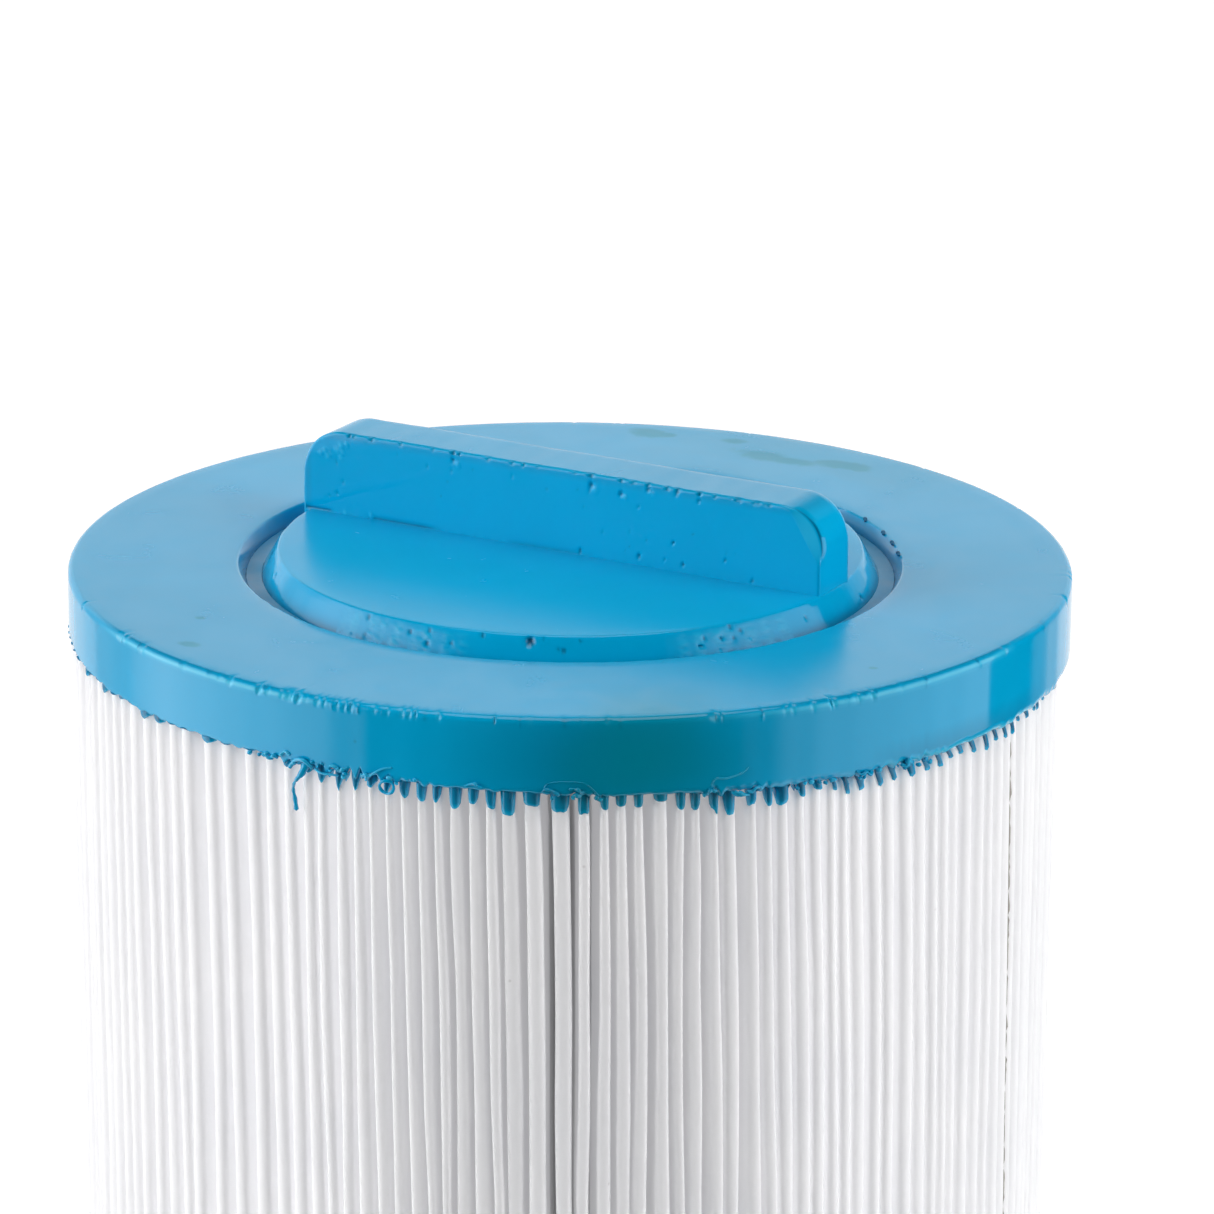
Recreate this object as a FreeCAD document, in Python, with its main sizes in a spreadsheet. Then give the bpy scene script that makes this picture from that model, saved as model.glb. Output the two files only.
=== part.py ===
"""Spa filter cartridge: top-load type with a moulded grab bar and a threaded outlet.

Frame: millimetres, +Z up. The origin is on the axis, in the plane of the bottom end cap's
seating face. The grab bar runs along X. The outlet spigot points down, below Z = 0.
"""
import FreeCAD, Part
import math
import os
import Sketcher
from FreeCAD import Vector, Rotation, Placement

doc = FreeCAD.newDocument("filter_cartridge")

# ---------------------------------------------------------------- driving dimensions
# alias, value, note
DIMENSIONS = [
    # overall
    ("body_length", 203.0, "seating face to the top of the upper end cap"),
    ("cap_radius", 76.0, "outside radius of both end caps"),
    ("cap_depth", 11.5, "height of each cast end cap"),
    ("cap_edge_round", 1.0, "rounding of the moulded rim of each cap"),
    # ring groove in the upper cap, left by the mould ridge that stands on the core
    ("groove_depth", 2.1, "depth of the ring groove"),
    ("groove_mouth_radius", 50.4, "outer edge of the groove at the cap's top face"),
    # core
    ("core_outer_radius", 49.1, "outside of the support core"),
    ("core_inner_radius", 46.8, "inside of the support core"),
    ("core_foot", 3.0, "height of the core's lower rim above the seating face"),
    ("window_width", 9.0, "core window, round the tube"),
    ("window_height", 10.0, "core window, along the tube"),
    ("window_pitch", 13.6, "row spacing of the windows"),
    ("window_start", 22.0, "middle of the first row of windows"),
    ("window_columns", 9.0, "pairs of opposite window columns"),
    # handle plug
    ("plug_top_radius", 44.5, "radius of the plug's top edge"),
    ("plug_rise", 2.0, "height of the plug above the ring"),
    ("plug_edge_round", 0.5, "rounding of the plug's top edge"),
    ("bar_width", 10.5, "thickness of the grab bar"),
    ("bar_height", 13.0, "height of the grab bar above the plug"),
    ("bar_offset", 1.75, "offset of the bar's middle plane from the axis"),
    ("bar_corner", 7.0, "rounding of the bar's two upper corners"),
    ("bar_edge", 0.9, "rounding of the bar's long upper edges"),
    # media
    ("pleat_count", 166.0, "number of pleats"),
    ("pack_outer_radius", 75.1, "radius over the pleat tips"),
    ("pack_inner_radius", 49.5, "radius inside the pleat roots"),
    ("media_thickness", 0.5, "thickness of the polyester sheet"),
    ("tip_radius", 0.88, "outside radius of the fold at a pleat tip"),
    ("root_radius", 0.62, "outside radius of the fold at a pleat root"),
    ("pleat_bury", 8.0, "length of pleat potted in each cap"),
    # seam
    ("seam_width", 0.55, "width of the seam bead"),
    ("seam_depth", 2.6, "radial depth of the seam bead"),
    ("seam_inset", 0.35, "how far the bead sits below the pleat tips"),
    ("seam_angle", 1.1, "place of the seam round the pack, near this angle in degrees"),
    # outlet adaptor
    ("collar_radius", 25.0, "pilot collar of the outlet"),
    ("collar_drop", 5.0, "length of the collar below the seating face"),
    ("collar_chamfer", 0.4, "chamfer of the collar's lower edge"),
    ("bore_radius", 19.0, "water way through the outlet"),
    ("thread_root", 22.0, "root radius of the outlet thread"),
    ("thread_crest", 23.9, "crest radius of the outlet thread"),
    ("thread_pitch", 4.2333, "six threads to the inch"),
    ("thread_run", 12.7, "threaded length"),
    ("thread_gap", 1.2, "collar's underside to the middle of the tooth at its upper end"),
    ("tooth_sink", 0.4, "how far the tooth starts inside the root radius"),
    ("tooth_base_half", 1.45, "half height of the tooth where it starts"),
    ("tooth_crest_half", 0.45, "half height of the tooth at its crest"),
    ("spigot_drop", 25.0, "length of the outlet below the seating face"),
    ("spigot_chamfer", 1.2, "chamfer of the spigot's lower outer edge"),
    ("flange_radius", 44.0, "anchor flange potted in the lower cap"),
    ("flange_base", 4.0, "underside of the flange"),
    ("flange_thickness", 3.0, "thickness of the flange"),
    ("hub_top", 14.0, "top of the hub inside the core"),
    ("hub_radius", 24.0, "outside radius of the hub"),
    ("neck_radius", 27.0, "neck between the seating face and the flange"),
    ("key_count", 8.0, "keying holes that the resin fills"),
    ("key_radius", 3.2, "radius of a keying hole"),
    ("key_circle", 35.5, "radius of the circle the keying holes lie on"),
    ("cap_core_wall", 21.5, "start of the lower casting, inside the adaptor's wall"),
]
sheet = doc.addObject("Spreadsheet::Sheet", "params")
for row, (alias, value, note) in enumerate(DIMENSIONS, start=1):
    sheet.set("A%d" % row, alias)
    sheet.set("B%d" % row, repr(value))
    sheet.set("C%d" % row, note)
    sheet.setAlias("B%d" % row, alias)
doc.recompute()


# ---------------------------------------------------------------- dimensions with expressions
class Dim(float):
    """A number that also carries the sheet expression it comes from, as text.

    Start a sum or a quotient with a Dim: a plain number on its left drops the text.
    """

    def __new__(cls, value, text):
        dim = super().__new__(cls, value)
        dim.text = text
        return dim

    def __add__(self, other):
        return joined(self, "+", other, float(self) + float(other))

    def __sub__(self, other):
        return joined(self, "-", other, float(self) - float(other))

    def __mul__(self, other):
        return joined(self, "*", other, float(self) * float(other))

    def __rmul__(self, other):
        return joined(other, "*", self, float(other) * float(self))

    def __truediv__(self, other):
        return joined(self, "/", other, float(self) / float(other))

    def __neg__(self):
        return Dim(-float(self), "(-%s)" % self.text)


def joined(left, sign, right, value):
    left_text, right_text = (
        side.text if isinstance(side, Dim) else repr(side) for side in (left, right)
    )
    return Dim(value, "(%s %s %s)" % (left_text, sign, right_text))


class Params:
    """Reads each alias of the sheet as a Dim."""

    def __getattr__(self, alias):
        return Dim(float(getattr(sheet, alias)), "params." + alias)


params = Params()
ZERO = Dim(0.0, "0")  # the axis, or the seating face

# levels that several pieces share
upper_cap_base = params.body_length - params.cap_depth
groove_floor = params.body_length - params.groove_depth
plug_crown = params.body_length + params.plug_rise
between_caps = params.body_length - 2 * params.cap_depth
flange_top = params.flange_base + params.flange_thickness


# ---------------------------------------------------------------- helpers
def bind(feature, prop, dim):
    """Sets a property and ties it to the sheet."""
    setattr(feature, prop, float(dim))
    feature.setExpression(prop, dim.text)


def bind_height(feature, prop, height):
    """Sets a placement property to that height on the axis and ties it to the sheet."""
    setattr(feature, prop, Placement(Vector(0, 0, height), Rotation()))
    feature.setExpression(prop + ".Base.z", height.text)


def sketch_on(body, role, name):
    """A sketch on the body's origin plane of that role."""
    sketch = body.newObject("Sketcher::SketchObject", name)
    base = next(f for f in body.Origin.OriginFeatures if f.Role == role)
    sketch.AttachmentSupport = [(base, "")]
    sketch.MapMode = "FlatFace"
    return sketch


def constrain(sketch, dim, *reference):
    """Adds a dimensional constraint tied to the sheet."""
    index = sketch.addConstraint(Sketcher.Constraint(*reference, float(dim)))
    sketch.setExpression("Constraints[%d]" % index, dim.text)


def pin(sketch, geometry, point, x=None, y=None):
    """Ties a sketch point to the sketch origin; a coordinate left out stays free."""
    for kind, dim in (("DistanceX", x), ("DistanceY", y)):
        if dim is None:
            continue
        # a distance can't be negative, so the two points swap places instead
        if dim >= 0:
            constrain(sketch, dim, kind, -1, 1, geometry, point)
        else:
            constrain(sketch, -dim, kind, geometry, point, -1, 1)


def polygon(sketch, points):
    """A closed polygon through (x, y) points given as Dims."""
    count = len(points)
    lines = []
    for i, (x, y) in enumerate(points):
        next_x, next_y = points[(i + 1) % count]
        line = Part.LineSegment(Vector(x, y, 0), Vector(next_x, next_y, 0))
        lines.append(sketch.addGeometry(line, False))
    for i in range(count):
        sketch.addConstraint(
            Sketcher.Constraint("Coincident", lines[i], 2, lines[(i + 1) % count], 1)
        )
    for line, (x, y) in zip(lines, points):
        pin(sketch, line, 1, x, y)


def revolved(body, points, name):
    """A full turn about Z of a polygon of (radius, height) points."""
    sketch = sketch_on(body, "XZ_Plane", name + "_profile")
    polygon(sketch, points)
    doc.recompute()
    revolution = body.newObject("PartDesign::Revolution", name)
    revolution.Profile = sketch
    revolution.ReferenceAxis = (sketch, ["V_Axis"])
    revolution.Angle = 360.0
    doc.recompute()
    return revolution


def circle_edges(shape, radius, z):
    """Names of the circular edges of that radius whose centre is at that height."""
    return [
        "Edge%d" % i
        for i, edge in enumerate(shape.Edges, start=1)
        if edge.Curve.TypeId == "Part::GeomCircle"
        and abs(edge.Curve.Radius - radius) < 1e-4
        and abs(edge.Curve.Center.z - z) < 1e-4
    ]


def straight_edges(shape, z):
    """Names of the straight edges whose middle is at that height."""
    return [
        "Edge%d" % i
        for i, edge in enumerate(shape.Edges, start=1)
        if edge.Curve.TypeId == "Part::GeomLine" and abs(edge.CenterOfMass.z - z) < 1e-4
    ]


def rounded(body, base, edges, radius, name):
    fillet = body.newObject("PartDesign::Fillet", name)
    fillet.Base = (base, edges)
    bind(fillet, "Radius", radius)
    body.Tip = fillet
    doc.recompute()
    return fillet


def cut(base, tool, name):
    result = doc.addObject("Part::Cut", name)
    result.Base = base
    result.Tool = tool
    return result


def polar(radius, angle):
    return Vector(radius * math.cos(angle), radius * math.sin(angle), 0)


# ---------------------------------------------------------------- pleated media
pleat_count = int(round(params.pleat_count))
pleat_angle = 2.0 * math.pi / pleat_count


def fold_curve(side):
    """One face of the sheet as a closed wire: side is +1 for the outer face, -1 for the inner."""
    half_sheet = float(params.media_thickness / 2)
    # centre-line radii of the folds, and the circles their centres lie on
    tip_fold = float(params.tip_radius) - half_sheet
    root_fold = float(params.root_radius) - half_sheet
    tip_circle = float(params.pack_outer_radius - params.tip_radius)
    root_circle = float(params.pack_inner_radius + params.root_radius)
    tip_face = tip_fold + side * half_sheet
    root_face = root_fold - side * half_sheet

    def tangent_normal(tip_centre, root_centre, sign):
        """Direction from the tip's centre to its contact with the common tangent.

        Sign is -1 for the root before the tip, +1 for the root after it.
        """
        reach = root_centre - tip_centre
        lean = math.asin((tip_fold + root_fold) / reach.Length)
        return polar(1.0, math.atan2(reach.y, reach.x) - sign * (math.pi / 2.0 - lean))

    edges = []
    for k in range(pleat_count):
        angle = k * pleat_angle
        root_angle = angle + pleat_angle / 2.0
        tip_centre = polar(tip_circle, angle)
        next_tip = polar(tip_circle, angle + pleat_angle)
        root_before = polar(root_circle, angle - pleat_angle / 2.0)
        root_after = polar(root_circle, root_angle)

        normal_before = tangent_normal(tip_centre, root_before, -1.0)
        normal_after = tangent_normal(tip_centre, root_after, 1.0)
        tip_start = tip_centre + normal_before * tip_face
        tip_end = tip_centre + normal_after * tip_face
        tip_middle = tip_centre + polar(tip_face, angle)
        flank_start = root_before - normal_before * root_face
        root_start = root_after - normal_after * root_face
        root_middle = root_after - polar(root_face, root_angle)
        # the root fold ends where the next pleat's first flank starts
        root_end = root_after - tangent_normal(next_tip, root_after, -1.0) * root_face

        edges += [
            Part.LineSegment(flank_start, tip_start).toShape(),
            Part.Arc(tip_start, tip_middle, tip_end).toShape(),
            Part.LineSegment(tip_end, root_start).toShape(),
            Part.Arc(root_start, root_middle, root_end).toShape(),
        ]
    return Part.Wire(edges)


def build_media():
    """One folded sheet, joined end to end, with its ends buried in the caps."""
    outline = Part.Face([fold_curve(1), fold_curve(-1)])
    outline.validate()
    profile = doc.addObject("Part::Feature", "pleat_profile")
    profile.Shape = outline
    strip = doc.addObject("Part::Extrusion", "media_strip")
    strip.Label = "pleated_media"
    strip.Base = profile
    strip.DirMode = "Custom"
    strip.Dir = Vector(0, 0, 1)
    strip.Solid = True
    bind(strip, "LengthFwd", between_caps + 2 * params.pleat_bury)
    bind_height(strip, "Placement", params.cap_depth - params.pleat_bury)
    doc.recompute()
    return strip


def build_seam():
    """Seam bead in the valley between two pleats that is nearest the seam angle."""
    bead = doc.addObject("Part::Box", "seam_box")
    bead.Label = "seam_bead"
    bind(bead, "Length", params.seam_depth)
    bind(bead, "Width", params.seam_width)
    bind(bead, "Height", between_caps)
    doc.recompute()
    valley = round(math.radians(params.seam_angle) / pleat_angle - 0.5)
    turn = Rotation(Vector(0, 0, 1), math.degrees((valley + 0.5) * pleat_angle))
    inner_radius = params.pack_outer_radius - params.seam_inset - params.seam_depth
    corner = turn.multVec(Vector(inner_radius, -params.seam_width / 2, 0))
    bead.Placement = Placement(corner + Vector(0, 0, params.cap_depth), turn)
    return bead


# ---------------------------------------------------------------- upper end cap
def build_top_cap(media):
    """Cast ring round the core, over the pleat ends."""
    body = doc.addObject("PartDesign::Body", "top_casting")
    ring = revolved(
        body,
        [
            (params.core_outer_radius, upper_cap_base),
            (params.cap_radius, upper_cap_base),
            (params.cap_radius, params.body_length),
            (params.groove_mouth_radius, params.body_length),
            (params.core_outer_radius, groove_floor),
        ],
        "top_ring",
    )
    rim = circle_edges(ring.Shape, params.cap_radius, params.body_length)
    rounded(body, ring, rim, params.cap_edge_round, "top_rim_round")
    cap = cut(body, media, "top_cap")
    cap.Label = "top_end_cap"
    return cap


# ---------------------------------------------------------------- support core
def build_core():
    """Tube with rows and columns of windows."""
    body = doc.addObject("PartDesign::Body", "core_body")
    body.Label = "core_tube"
    revolved(
        body,
        [
            (params.core_inner_radius, params.core_foot),
            (params.core_outer_radius, params.core_foot),
            (params.core_outer_radius, groove_floor),
            (params.core_inner_radius, groove_floor),
        ],
        "core_shell",
    )
    sketch = sketch_on(body, "XZ_Plane", "window_rows")
    rows = 1 + int((params.body_length - 2 * params.window_start) / params.window_pitch)
    right = params.window_width / 2
    left = -right
    for i in range(rows):
        middle = params.window_start + i * params.window_pitch
        low = middle - params.window_height / 2
        high = middle + params.window_height / 2
        polygon(sketch, [(left, low), (right, low), (right, high), (left, high)])
    doc.recompute()
    windows = body.newObject("PartDesign::Pocket", "windows")
    windows.Profile = sketch
    windows.Type = "ThroughAll"
    windows.Midplane = True
    doc.recompute()
    # each cut goes through both walls, so the columns spread over half a turn
    columns = int(round(params.window_columns))
    spread = body.newObject("PartDesign::PolarPattern", "window_columns_pattern")
    spread.Originals = [windows]
    spread.Axis = (sketch, ["V_Axis"])
    spread.Angle = 180.0 * (columns - 1) / columns
    spread.Occurrences = columns
    body.Tip = spread
    doc.recompute()
    return body


# ---------------------------------------------------------------- handle plug
def bar_outline(body, end_radius):
    """Plan of the grab bar: two straight sides along X, closed by arcs about the axis."""
    sketch = sketch_on(body, "XY_Plane", "bar_outline")
    y_low = params.bar_offset - params.bar_width / 2
    y_high = params.bar_offset + params.bar_width / 2
    x_low, x_high = (math.sqrt(end_radius**2 - y**2) for y in (y_low, y_high))
    circle = Part.Circle(Vector(0, 0, 0), Vector(0, 0, 1), float(end_radius))
    low_side, right_end, high_side, left_end = (
        sketch.addGeometry(curve, False)
        for curve in (
            Part.LineSegment(Vector(-x_low, y_low, 0), Vector(x_low, y_low, 0)),
            Part.ArcOfCircle(circle, math.atan2(y_low, x_low), math.atan2(y_high, x_high)),
            Part.LineSegment(Vector(x_high, y_high, 0), Vector(-x_high, y_high, 0)),
            Part.ArcOfCircle(
                circle,
                math.atan2(y_high, -x_high),
                math.atan2(y_low, -x_low) + 2 * math.pi,
            ),
        )
    )
    loop = [low_side, right_end, high_side, left_end]
    for curve, following in zip(loop, loop[1:] + loop[:1]):
        sketch.addConstraint(Sketcher.Constraint("Coincident", curve, 2, following, 1))
    for end in (right_end, left_end):
        sketch.addConstraint(Sketcher.Constraint("Coincident", end, 3, -1, 1))
    for side in (low_side, high_side):
        sketch.addConstraint(Sketcher.Constraint("Horizontal", side))
    for end in (right_end, left_end):
        constrain(sketch, end_radius, "Radius", end)
    pin(sketch, low_side, 1, y=y_low)
    pin(sketch, high_side, 1, y=y_high)
    bind_height(sketch, "AttachmentOffset", params.body_length)
    doc.recompute()
    return sketch


def build_plug():
    """Disc cast in the core's mouth, with the grab bar on top."""
    body = doc.addObject("PartDesign::Body", "plug_body")
    body.Label = "handle_plug"
    disc = revolved(
        body,
        [
            (ZERO, upper_cap_base),
            (params.core_inner_radius, upper_cap_base),
            (params.core_inner_radius, groove_floor),
            (params.plug_top_radius, plug_crown),
            (ZERO, plug_crown),
        ],
        "plug_disc",
    )
    top_edge = circle_edges(disc.Shape, params.plug_top_radius, plug_crown)
    rounded(body, disc, top_edge, params.plug_edge_round, "plug_edge_round")

    # the bar reaches the inner edge of the plug's rounding
    end_radius = params.plug_top_radius - params.plug_edge_round
    outline = bar_outline(body, end_radius)
    bar = body.newObject("PartDesign::Pad", "grab_bar")
    bar.Profile = outline
    bind(bar, "Length", params.plug_rise + params.bar_height)
    doc.recompute()
    bar_top = plug_crown + params.bar_height
    ends = circle_edges(bar.Shape, end_radius, bar_top)
    corners = rounded(body, bar, ends, params.bar_corner, "bar_corners")
    sides = straight_edges(corners.Shape, bar_top)
    rounded(body, corners, sides, params.bar_edge, "bar_edges")
    return body


# ---------------------------------------------------------------- outlet adaptor
def add_keying_holes(body, shell):
    """Ring of holes through the anchor flange."""
    sketch = sketch_on(body, "XY_Plane", "keying_hole")
    bind_height(sketch, "AttachmentOffset", flange_top)
    circle = Part.Circle(
        Vector(params.key_circle, 0, 0), Vector(0, 0, 1), float(params.key_radius)
    )
    hole = sketch.addGeometry(circle, False)
    constrain(sketch, params.key_radius, "Radius", hole)
    pin(sketch, hole, 3, x=params.key_circle)
    sketch.addConstraint(Sketcher.Constraint("PointOnObject", hole, 3, -1))
    doc.recompute()
    solid_volume = shell.Shape.Volume
    pocket = body.newObject("PartDesign::Pocket", "keying_pocket")
    pocket.Profile = sketch
    bind(pocket, "Length", params.flange_thickness)
    doc.recompute()
    holes = body.newObject("PartDesign::PolarPattern", "keying_holes")
    holes.Originals = [pocket]
    holes.Axis = (sketch, ["N_Axis"])
    holes.Angle = 360.0
    holes.Occurrences = int(round(params.key_count))
    body.Tip = holes
    doc.recompute()
    # a wrong axis or depth would still give a valid solid, so the volume cut is compared
    removed = solid_volume - holes.Shape.Volume
    hole_area = math.pi * float(params.key_radius) ** 2
    wanted = float(params.key_count) * hole_area * float(params.flange_thickness)
    if abs(removed - wanted) > 0.01 * wanted:
        raise RuntimeError("keying holes cut %.1f mm3, not %.1f" % (removed, wanted))


def add_thread(body):
    """Right-hand thread, swept upward from its lowest tooth."""
    sketch = sketch_on(body, "XZ_Plane", "thread_tooth")
    middle = -params.collar_drop - params.thread_gap - params.thread_run
    base_radius = params.thread_root - params.tooth_sink
    polygon(
        sketch,
        [
            (base_radius, middle - params.tooth_base_half),
            (params.thread_crest, middle - params.tooth_crest_half),
            (params.thread_crest, middle + params.tooth_crest_half),
            (base_radius, middle + params.tooth_base_half),
        ],
    )
    doc.recompute()
    thread = body.newObject("PartDesign::AdditiveHelix", "outlet_thread")
    thread.Profile = sketch
    thread.ReferenceAxis = (sketch, ["V_Axis"])
    thread.Mode = "pitch-height-angle"
    bind(thread, "Pitch", params.thread_pitch)
    bind(thread, "Height", params.thread_run)
    thread.LeftHanded = False
    thread.Reversed = False
    body.Tip = thread
    doc.recompute()


def build_adaptor():
    """Hub, anchor flange, collar and threaded spigot."""
    body = doc.addObject("PartDesign::Body", "adaptor_body")
    body.Label = "threaded_adaptor"
    spigot_end = -params.spigot_drop
    collar_end = -params.collar_drop
    shell = revolved(
        body,
        [
            (params.bore_radius, spigot_end),
            (params.thread_root - params.spigot_chamfer, spigot_end),
            (params.thread_root, spigot_end + params.spigot_chamfer),
            (params.thread_root, collar_end),
            (params.collar_radius - params.collar_chamfer, collar_end),
            (params.collar_radius, collar_end + params.collar_chamfer),
            (params.collar_radius, ZERO),
            (params.neck_radius, ZERO),
            (params.neck_radius, params.flange_base),
            (params.flange_radius, params.flange_base),
            (params.flange_radius, flange_top),
            (params.hub_radius, flange_top),
            (params.hub_radius, params.hub_top),
            (params.bore_radius, params.hub_top),
        ],
        "adaptor_shell",
    )
    add_keying_holes(body, shell)
    add_thread(body)
    return body


# ---------------------------------------------------------------- lower end cap
def build_bottom_cap(adaptor, core, media):
    """Cast disc that pots the pleats, the core and the flange."""
    body = doc.addObject("PartDesign::Body", "bottom_casting")
    disc = revolved(
        body,
        [
            (params.cap_core_wall, ZERO),
            (params.cap_radius, ZERO),
            (params.cap_radius, params.cap_depth),
            (params.cap_core_wall, params.cap_depth),
        ],
        "bottom_disc",
    )
    rim = circle_edges(disc.Shape, params.cap_radius, 0.0)
    rounded(body, disc, rim, params.cap_edge_round, "bottom_rim_round")
    less_adaptor = cut(body, adaptor, "cap_less_adaptor")
    less_core = cut(less_adaptor, core, "cap_less_core")
    cap = cut(less_core, media, "bottom_cap")
    cap.Label = "bottom_end_cap"
    doc.recompute()
    return cap


# ---------------------------------------------------------------- build and export
media = build_media()
seam = build_seam()
top_cap = build_top_cap(media)
core = build_core()
plug = build_plug()
adaptor = build_adaptor()
bottom_cap = build_bottom_cap(adaptor, core, media)

failed = [
    item.Label
    for item in doc.Objects
    if any(state in ("Invalid", "Error") for state in item.State)
]
if failed:
    raise RuntimeError("failed objects: " + ", ".join(failed))

os.makedirs("parts", exist_ok=True)
for old in os.listdir("parts"):
    if old.endswith(".step"):
        os.remove(os.path.join("parts", old))
for piece in (top_cap, plug, core, media, seam, bottom_cap, adaptor):
    shape = piece.Shape
    if shape.isNull() or not shape.isValid() or shape.Volume <= 0:
        raise RuntimeError(piece.Label + " has no valid shape")
    shape.exportStep(os.path.join("parts", piece.Label + ".step"))
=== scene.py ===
"""Looks for a spa filter cartridge: cast end caps, handle plug, pleated cloth, seam and studio.

The cartridge stands along +Z with its axis on the origin; its handle is at the top.
Helpers work in millimetres in the part's frame, which become metres when a mesh is made.
The studio's frame is the part's turned by TURN about Z: -Y faces the camera, +X is to its right.
Angles "from the front" start at the camera's side and grow to the camera's right.
"""
import math
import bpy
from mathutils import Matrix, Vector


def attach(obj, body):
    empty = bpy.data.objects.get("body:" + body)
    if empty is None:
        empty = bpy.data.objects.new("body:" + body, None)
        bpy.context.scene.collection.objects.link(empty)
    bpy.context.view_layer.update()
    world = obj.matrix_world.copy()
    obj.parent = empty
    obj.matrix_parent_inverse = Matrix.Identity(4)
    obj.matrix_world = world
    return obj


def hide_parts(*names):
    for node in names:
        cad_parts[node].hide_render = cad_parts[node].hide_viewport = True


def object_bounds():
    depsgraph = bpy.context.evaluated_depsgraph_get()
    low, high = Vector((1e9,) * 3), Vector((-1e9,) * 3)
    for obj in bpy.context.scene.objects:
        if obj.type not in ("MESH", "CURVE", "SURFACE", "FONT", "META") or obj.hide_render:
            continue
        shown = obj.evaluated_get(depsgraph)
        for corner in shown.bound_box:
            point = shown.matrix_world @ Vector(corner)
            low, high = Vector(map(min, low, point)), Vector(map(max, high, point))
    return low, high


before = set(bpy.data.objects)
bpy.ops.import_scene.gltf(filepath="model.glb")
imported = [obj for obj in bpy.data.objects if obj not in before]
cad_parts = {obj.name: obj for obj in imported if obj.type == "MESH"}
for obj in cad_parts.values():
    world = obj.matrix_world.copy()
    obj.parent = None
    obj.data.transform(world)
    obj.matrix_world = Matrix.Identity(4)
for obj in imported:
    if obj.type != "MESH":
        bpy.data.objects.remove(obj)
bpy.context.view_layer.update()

from types import SimpleNamespace

import bmesh
import bpy
import numpy as np
from mathutils import Matrix

MM = 0.001
FULL_TURN = 2 * math.pi
TURN = math.radians(29.3)  # the grab bar's turn against the camera

TOP = 203.0  # top face of the upper cap
CAP_RADIUS = 76.0
CAP_BORE = 49.1  # radius of the opening inside the upper cap's ring
TAB_CIRCLE = 75.4  # radius at which distances along the cap's edge become angles

PLEATS = 166
LEVELS = 36  # rings of points up the cloth
HEIGHTS = np.linspace(6.0, 196.0, LEVELS)
TIP_RADIUS = 75.14
ROOT_RADIUS = 49.9


# ------------------------------------------------------------------ places and angles
def studio(x, y, z=0.0):
    """A point given in the studio's frame, in the part's frame."""
    cos, sin = math.cos(TURN), math.sin(TURN)
    return np.array([cos * x - sin * y, sin * x + cos * y, z])


def front_angle(degrees):
    """Part-frame angle in radians of a direction given in degrees from the front."""
    return math.radians(degrees - 90.0) + TURN


def degrees_from_front(theta):
    """The reverse of front_angle, from -180 to 180."""
    return np.degrees(np.arctan2(np.cos(theta - TURN), -np.sin(theta - TURN)))


def on_wall(degrees, depth, radius):
    """Point by the upper cap's side: degrees from the front, depth below the top face."""
    theta = front_angle(degrees)
    return np.array([radius * math.cos(theta), radius * math.sin(theta), TOP - depth])


PACK = studio(-0.78, 0.0)[:2]  # the pleat pack stands a little off the caps' axis


# ------------------------------------------------------------------ curves and noise
def smoothstep(start, end, x):
    share = np.clip((x - start) / (end - start), 0.0, 1.0)
    return share * share * (3 - 2 * share)


def plateau(x, rise, full, fall, end):
    """0, rising to 1 between rise and full, and back to 0 between fall and end."""
    return smoothstep(rise, full, x) * (1 - smoothstep(fall, end, x))


def wave_noise(theta, bands, seed):
    """Smooth closed noise round a circle; bands are (lowest, highest harmonic, size)."""
    rng = np.random.default_rng(seed)
    total = np.zeros_like(theta)
    for lowest, highest, size in bands:
        count = max(3, min(40, highest - lowest))
        for harmonic in rng.integers(lowest, highest + 1, count):
            wave = np.sin(harmonic * theta + rng.uniform(0, FULL_TURN))
            total += size / math.sqrt(count) * 1.4 * wave
    return total


def pleat_field(per_pleats, per_levels, seed):
    """Smooth random field over pleats (closed) and levels, about -1 to 1.

    The random values stand per_pleats and per_levels apart.
    """
    rng = np.random.default_rng(seed)
    cells = max(3, int(round(PLEATS / per_pleats)))
    layers = max(2, int(round(LEVELS / per_levels)) + 2)
    grid = rng.normal(0, 0.55, (cells, layers))
    round_pack = np.arange(PLEATS) / PLEATS * cells
    up_pack = np.linspace(0, layers - 1.001, LEVELS)
    cell, layer = np.floor(round_pack).astype(int), np.floor(up_pack).astype(int)
    across, up = round_pack - cell, up_pack - layer
    across, up = across * across * (3 - 2 * across), up * up * (3 - 2 * up)

    def along(level):
        this, following = grid[cell % cells][:, level], grid[(cell + 1) % cells][:, level]
        return this * (1 - across)[:, None] + following * across[:, None]

    return along(layer) * (1 - up)[None] + along(layer + 1) * up[None]


def random_rows(rng, count, *ranges):
    """Rows of random numbers, one from each range."""
    return [tuple(rng.uniform(*limits) for limits in ranges) for _ in range(count)]


def smooth_path(points, count):
    """Catmull-Rom curve through the points."""
    points = np.array([points[0]] + list(points) + [points[-1]], float)
    curve = []
    for place in np.linspace(0, len(points) - 3 - 1e-6, count):
        i, t = int(place), place - int(place)
        before, start, end, after = points[i : i + 4]
        curve.append(0.5 * (
            2 * start
            + (end - before) * t
            + (2 * before - 5 * start + 4 * end - after) * t * t
            + (3 * start - before - 3 * end + after) * t ** 3
        ))
    return np.array(curve)


# ------------------------------------------------------------------ meshes
def grid_faces(rows, columns, close_columns=True, close_rows=False):
    """Quads over a grid of vertices stored row by row."""
    row, column = np.meshgrid(
        np.arange(rows if close_rows else rows - 1),
        np.arange(columns if close_columns else columns - 1),
        indexing="ij",
    )
    next_row, next_column = (row + 1) % rows, (column + 1) % columns
    return np.stack(
        [
            row * columns + column,
            row * columns + next_column,
            next_row * columns + next_column,
            next_row * columns + column,
        ],
        -1,
    ).reshape(-1, 4)


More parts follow.
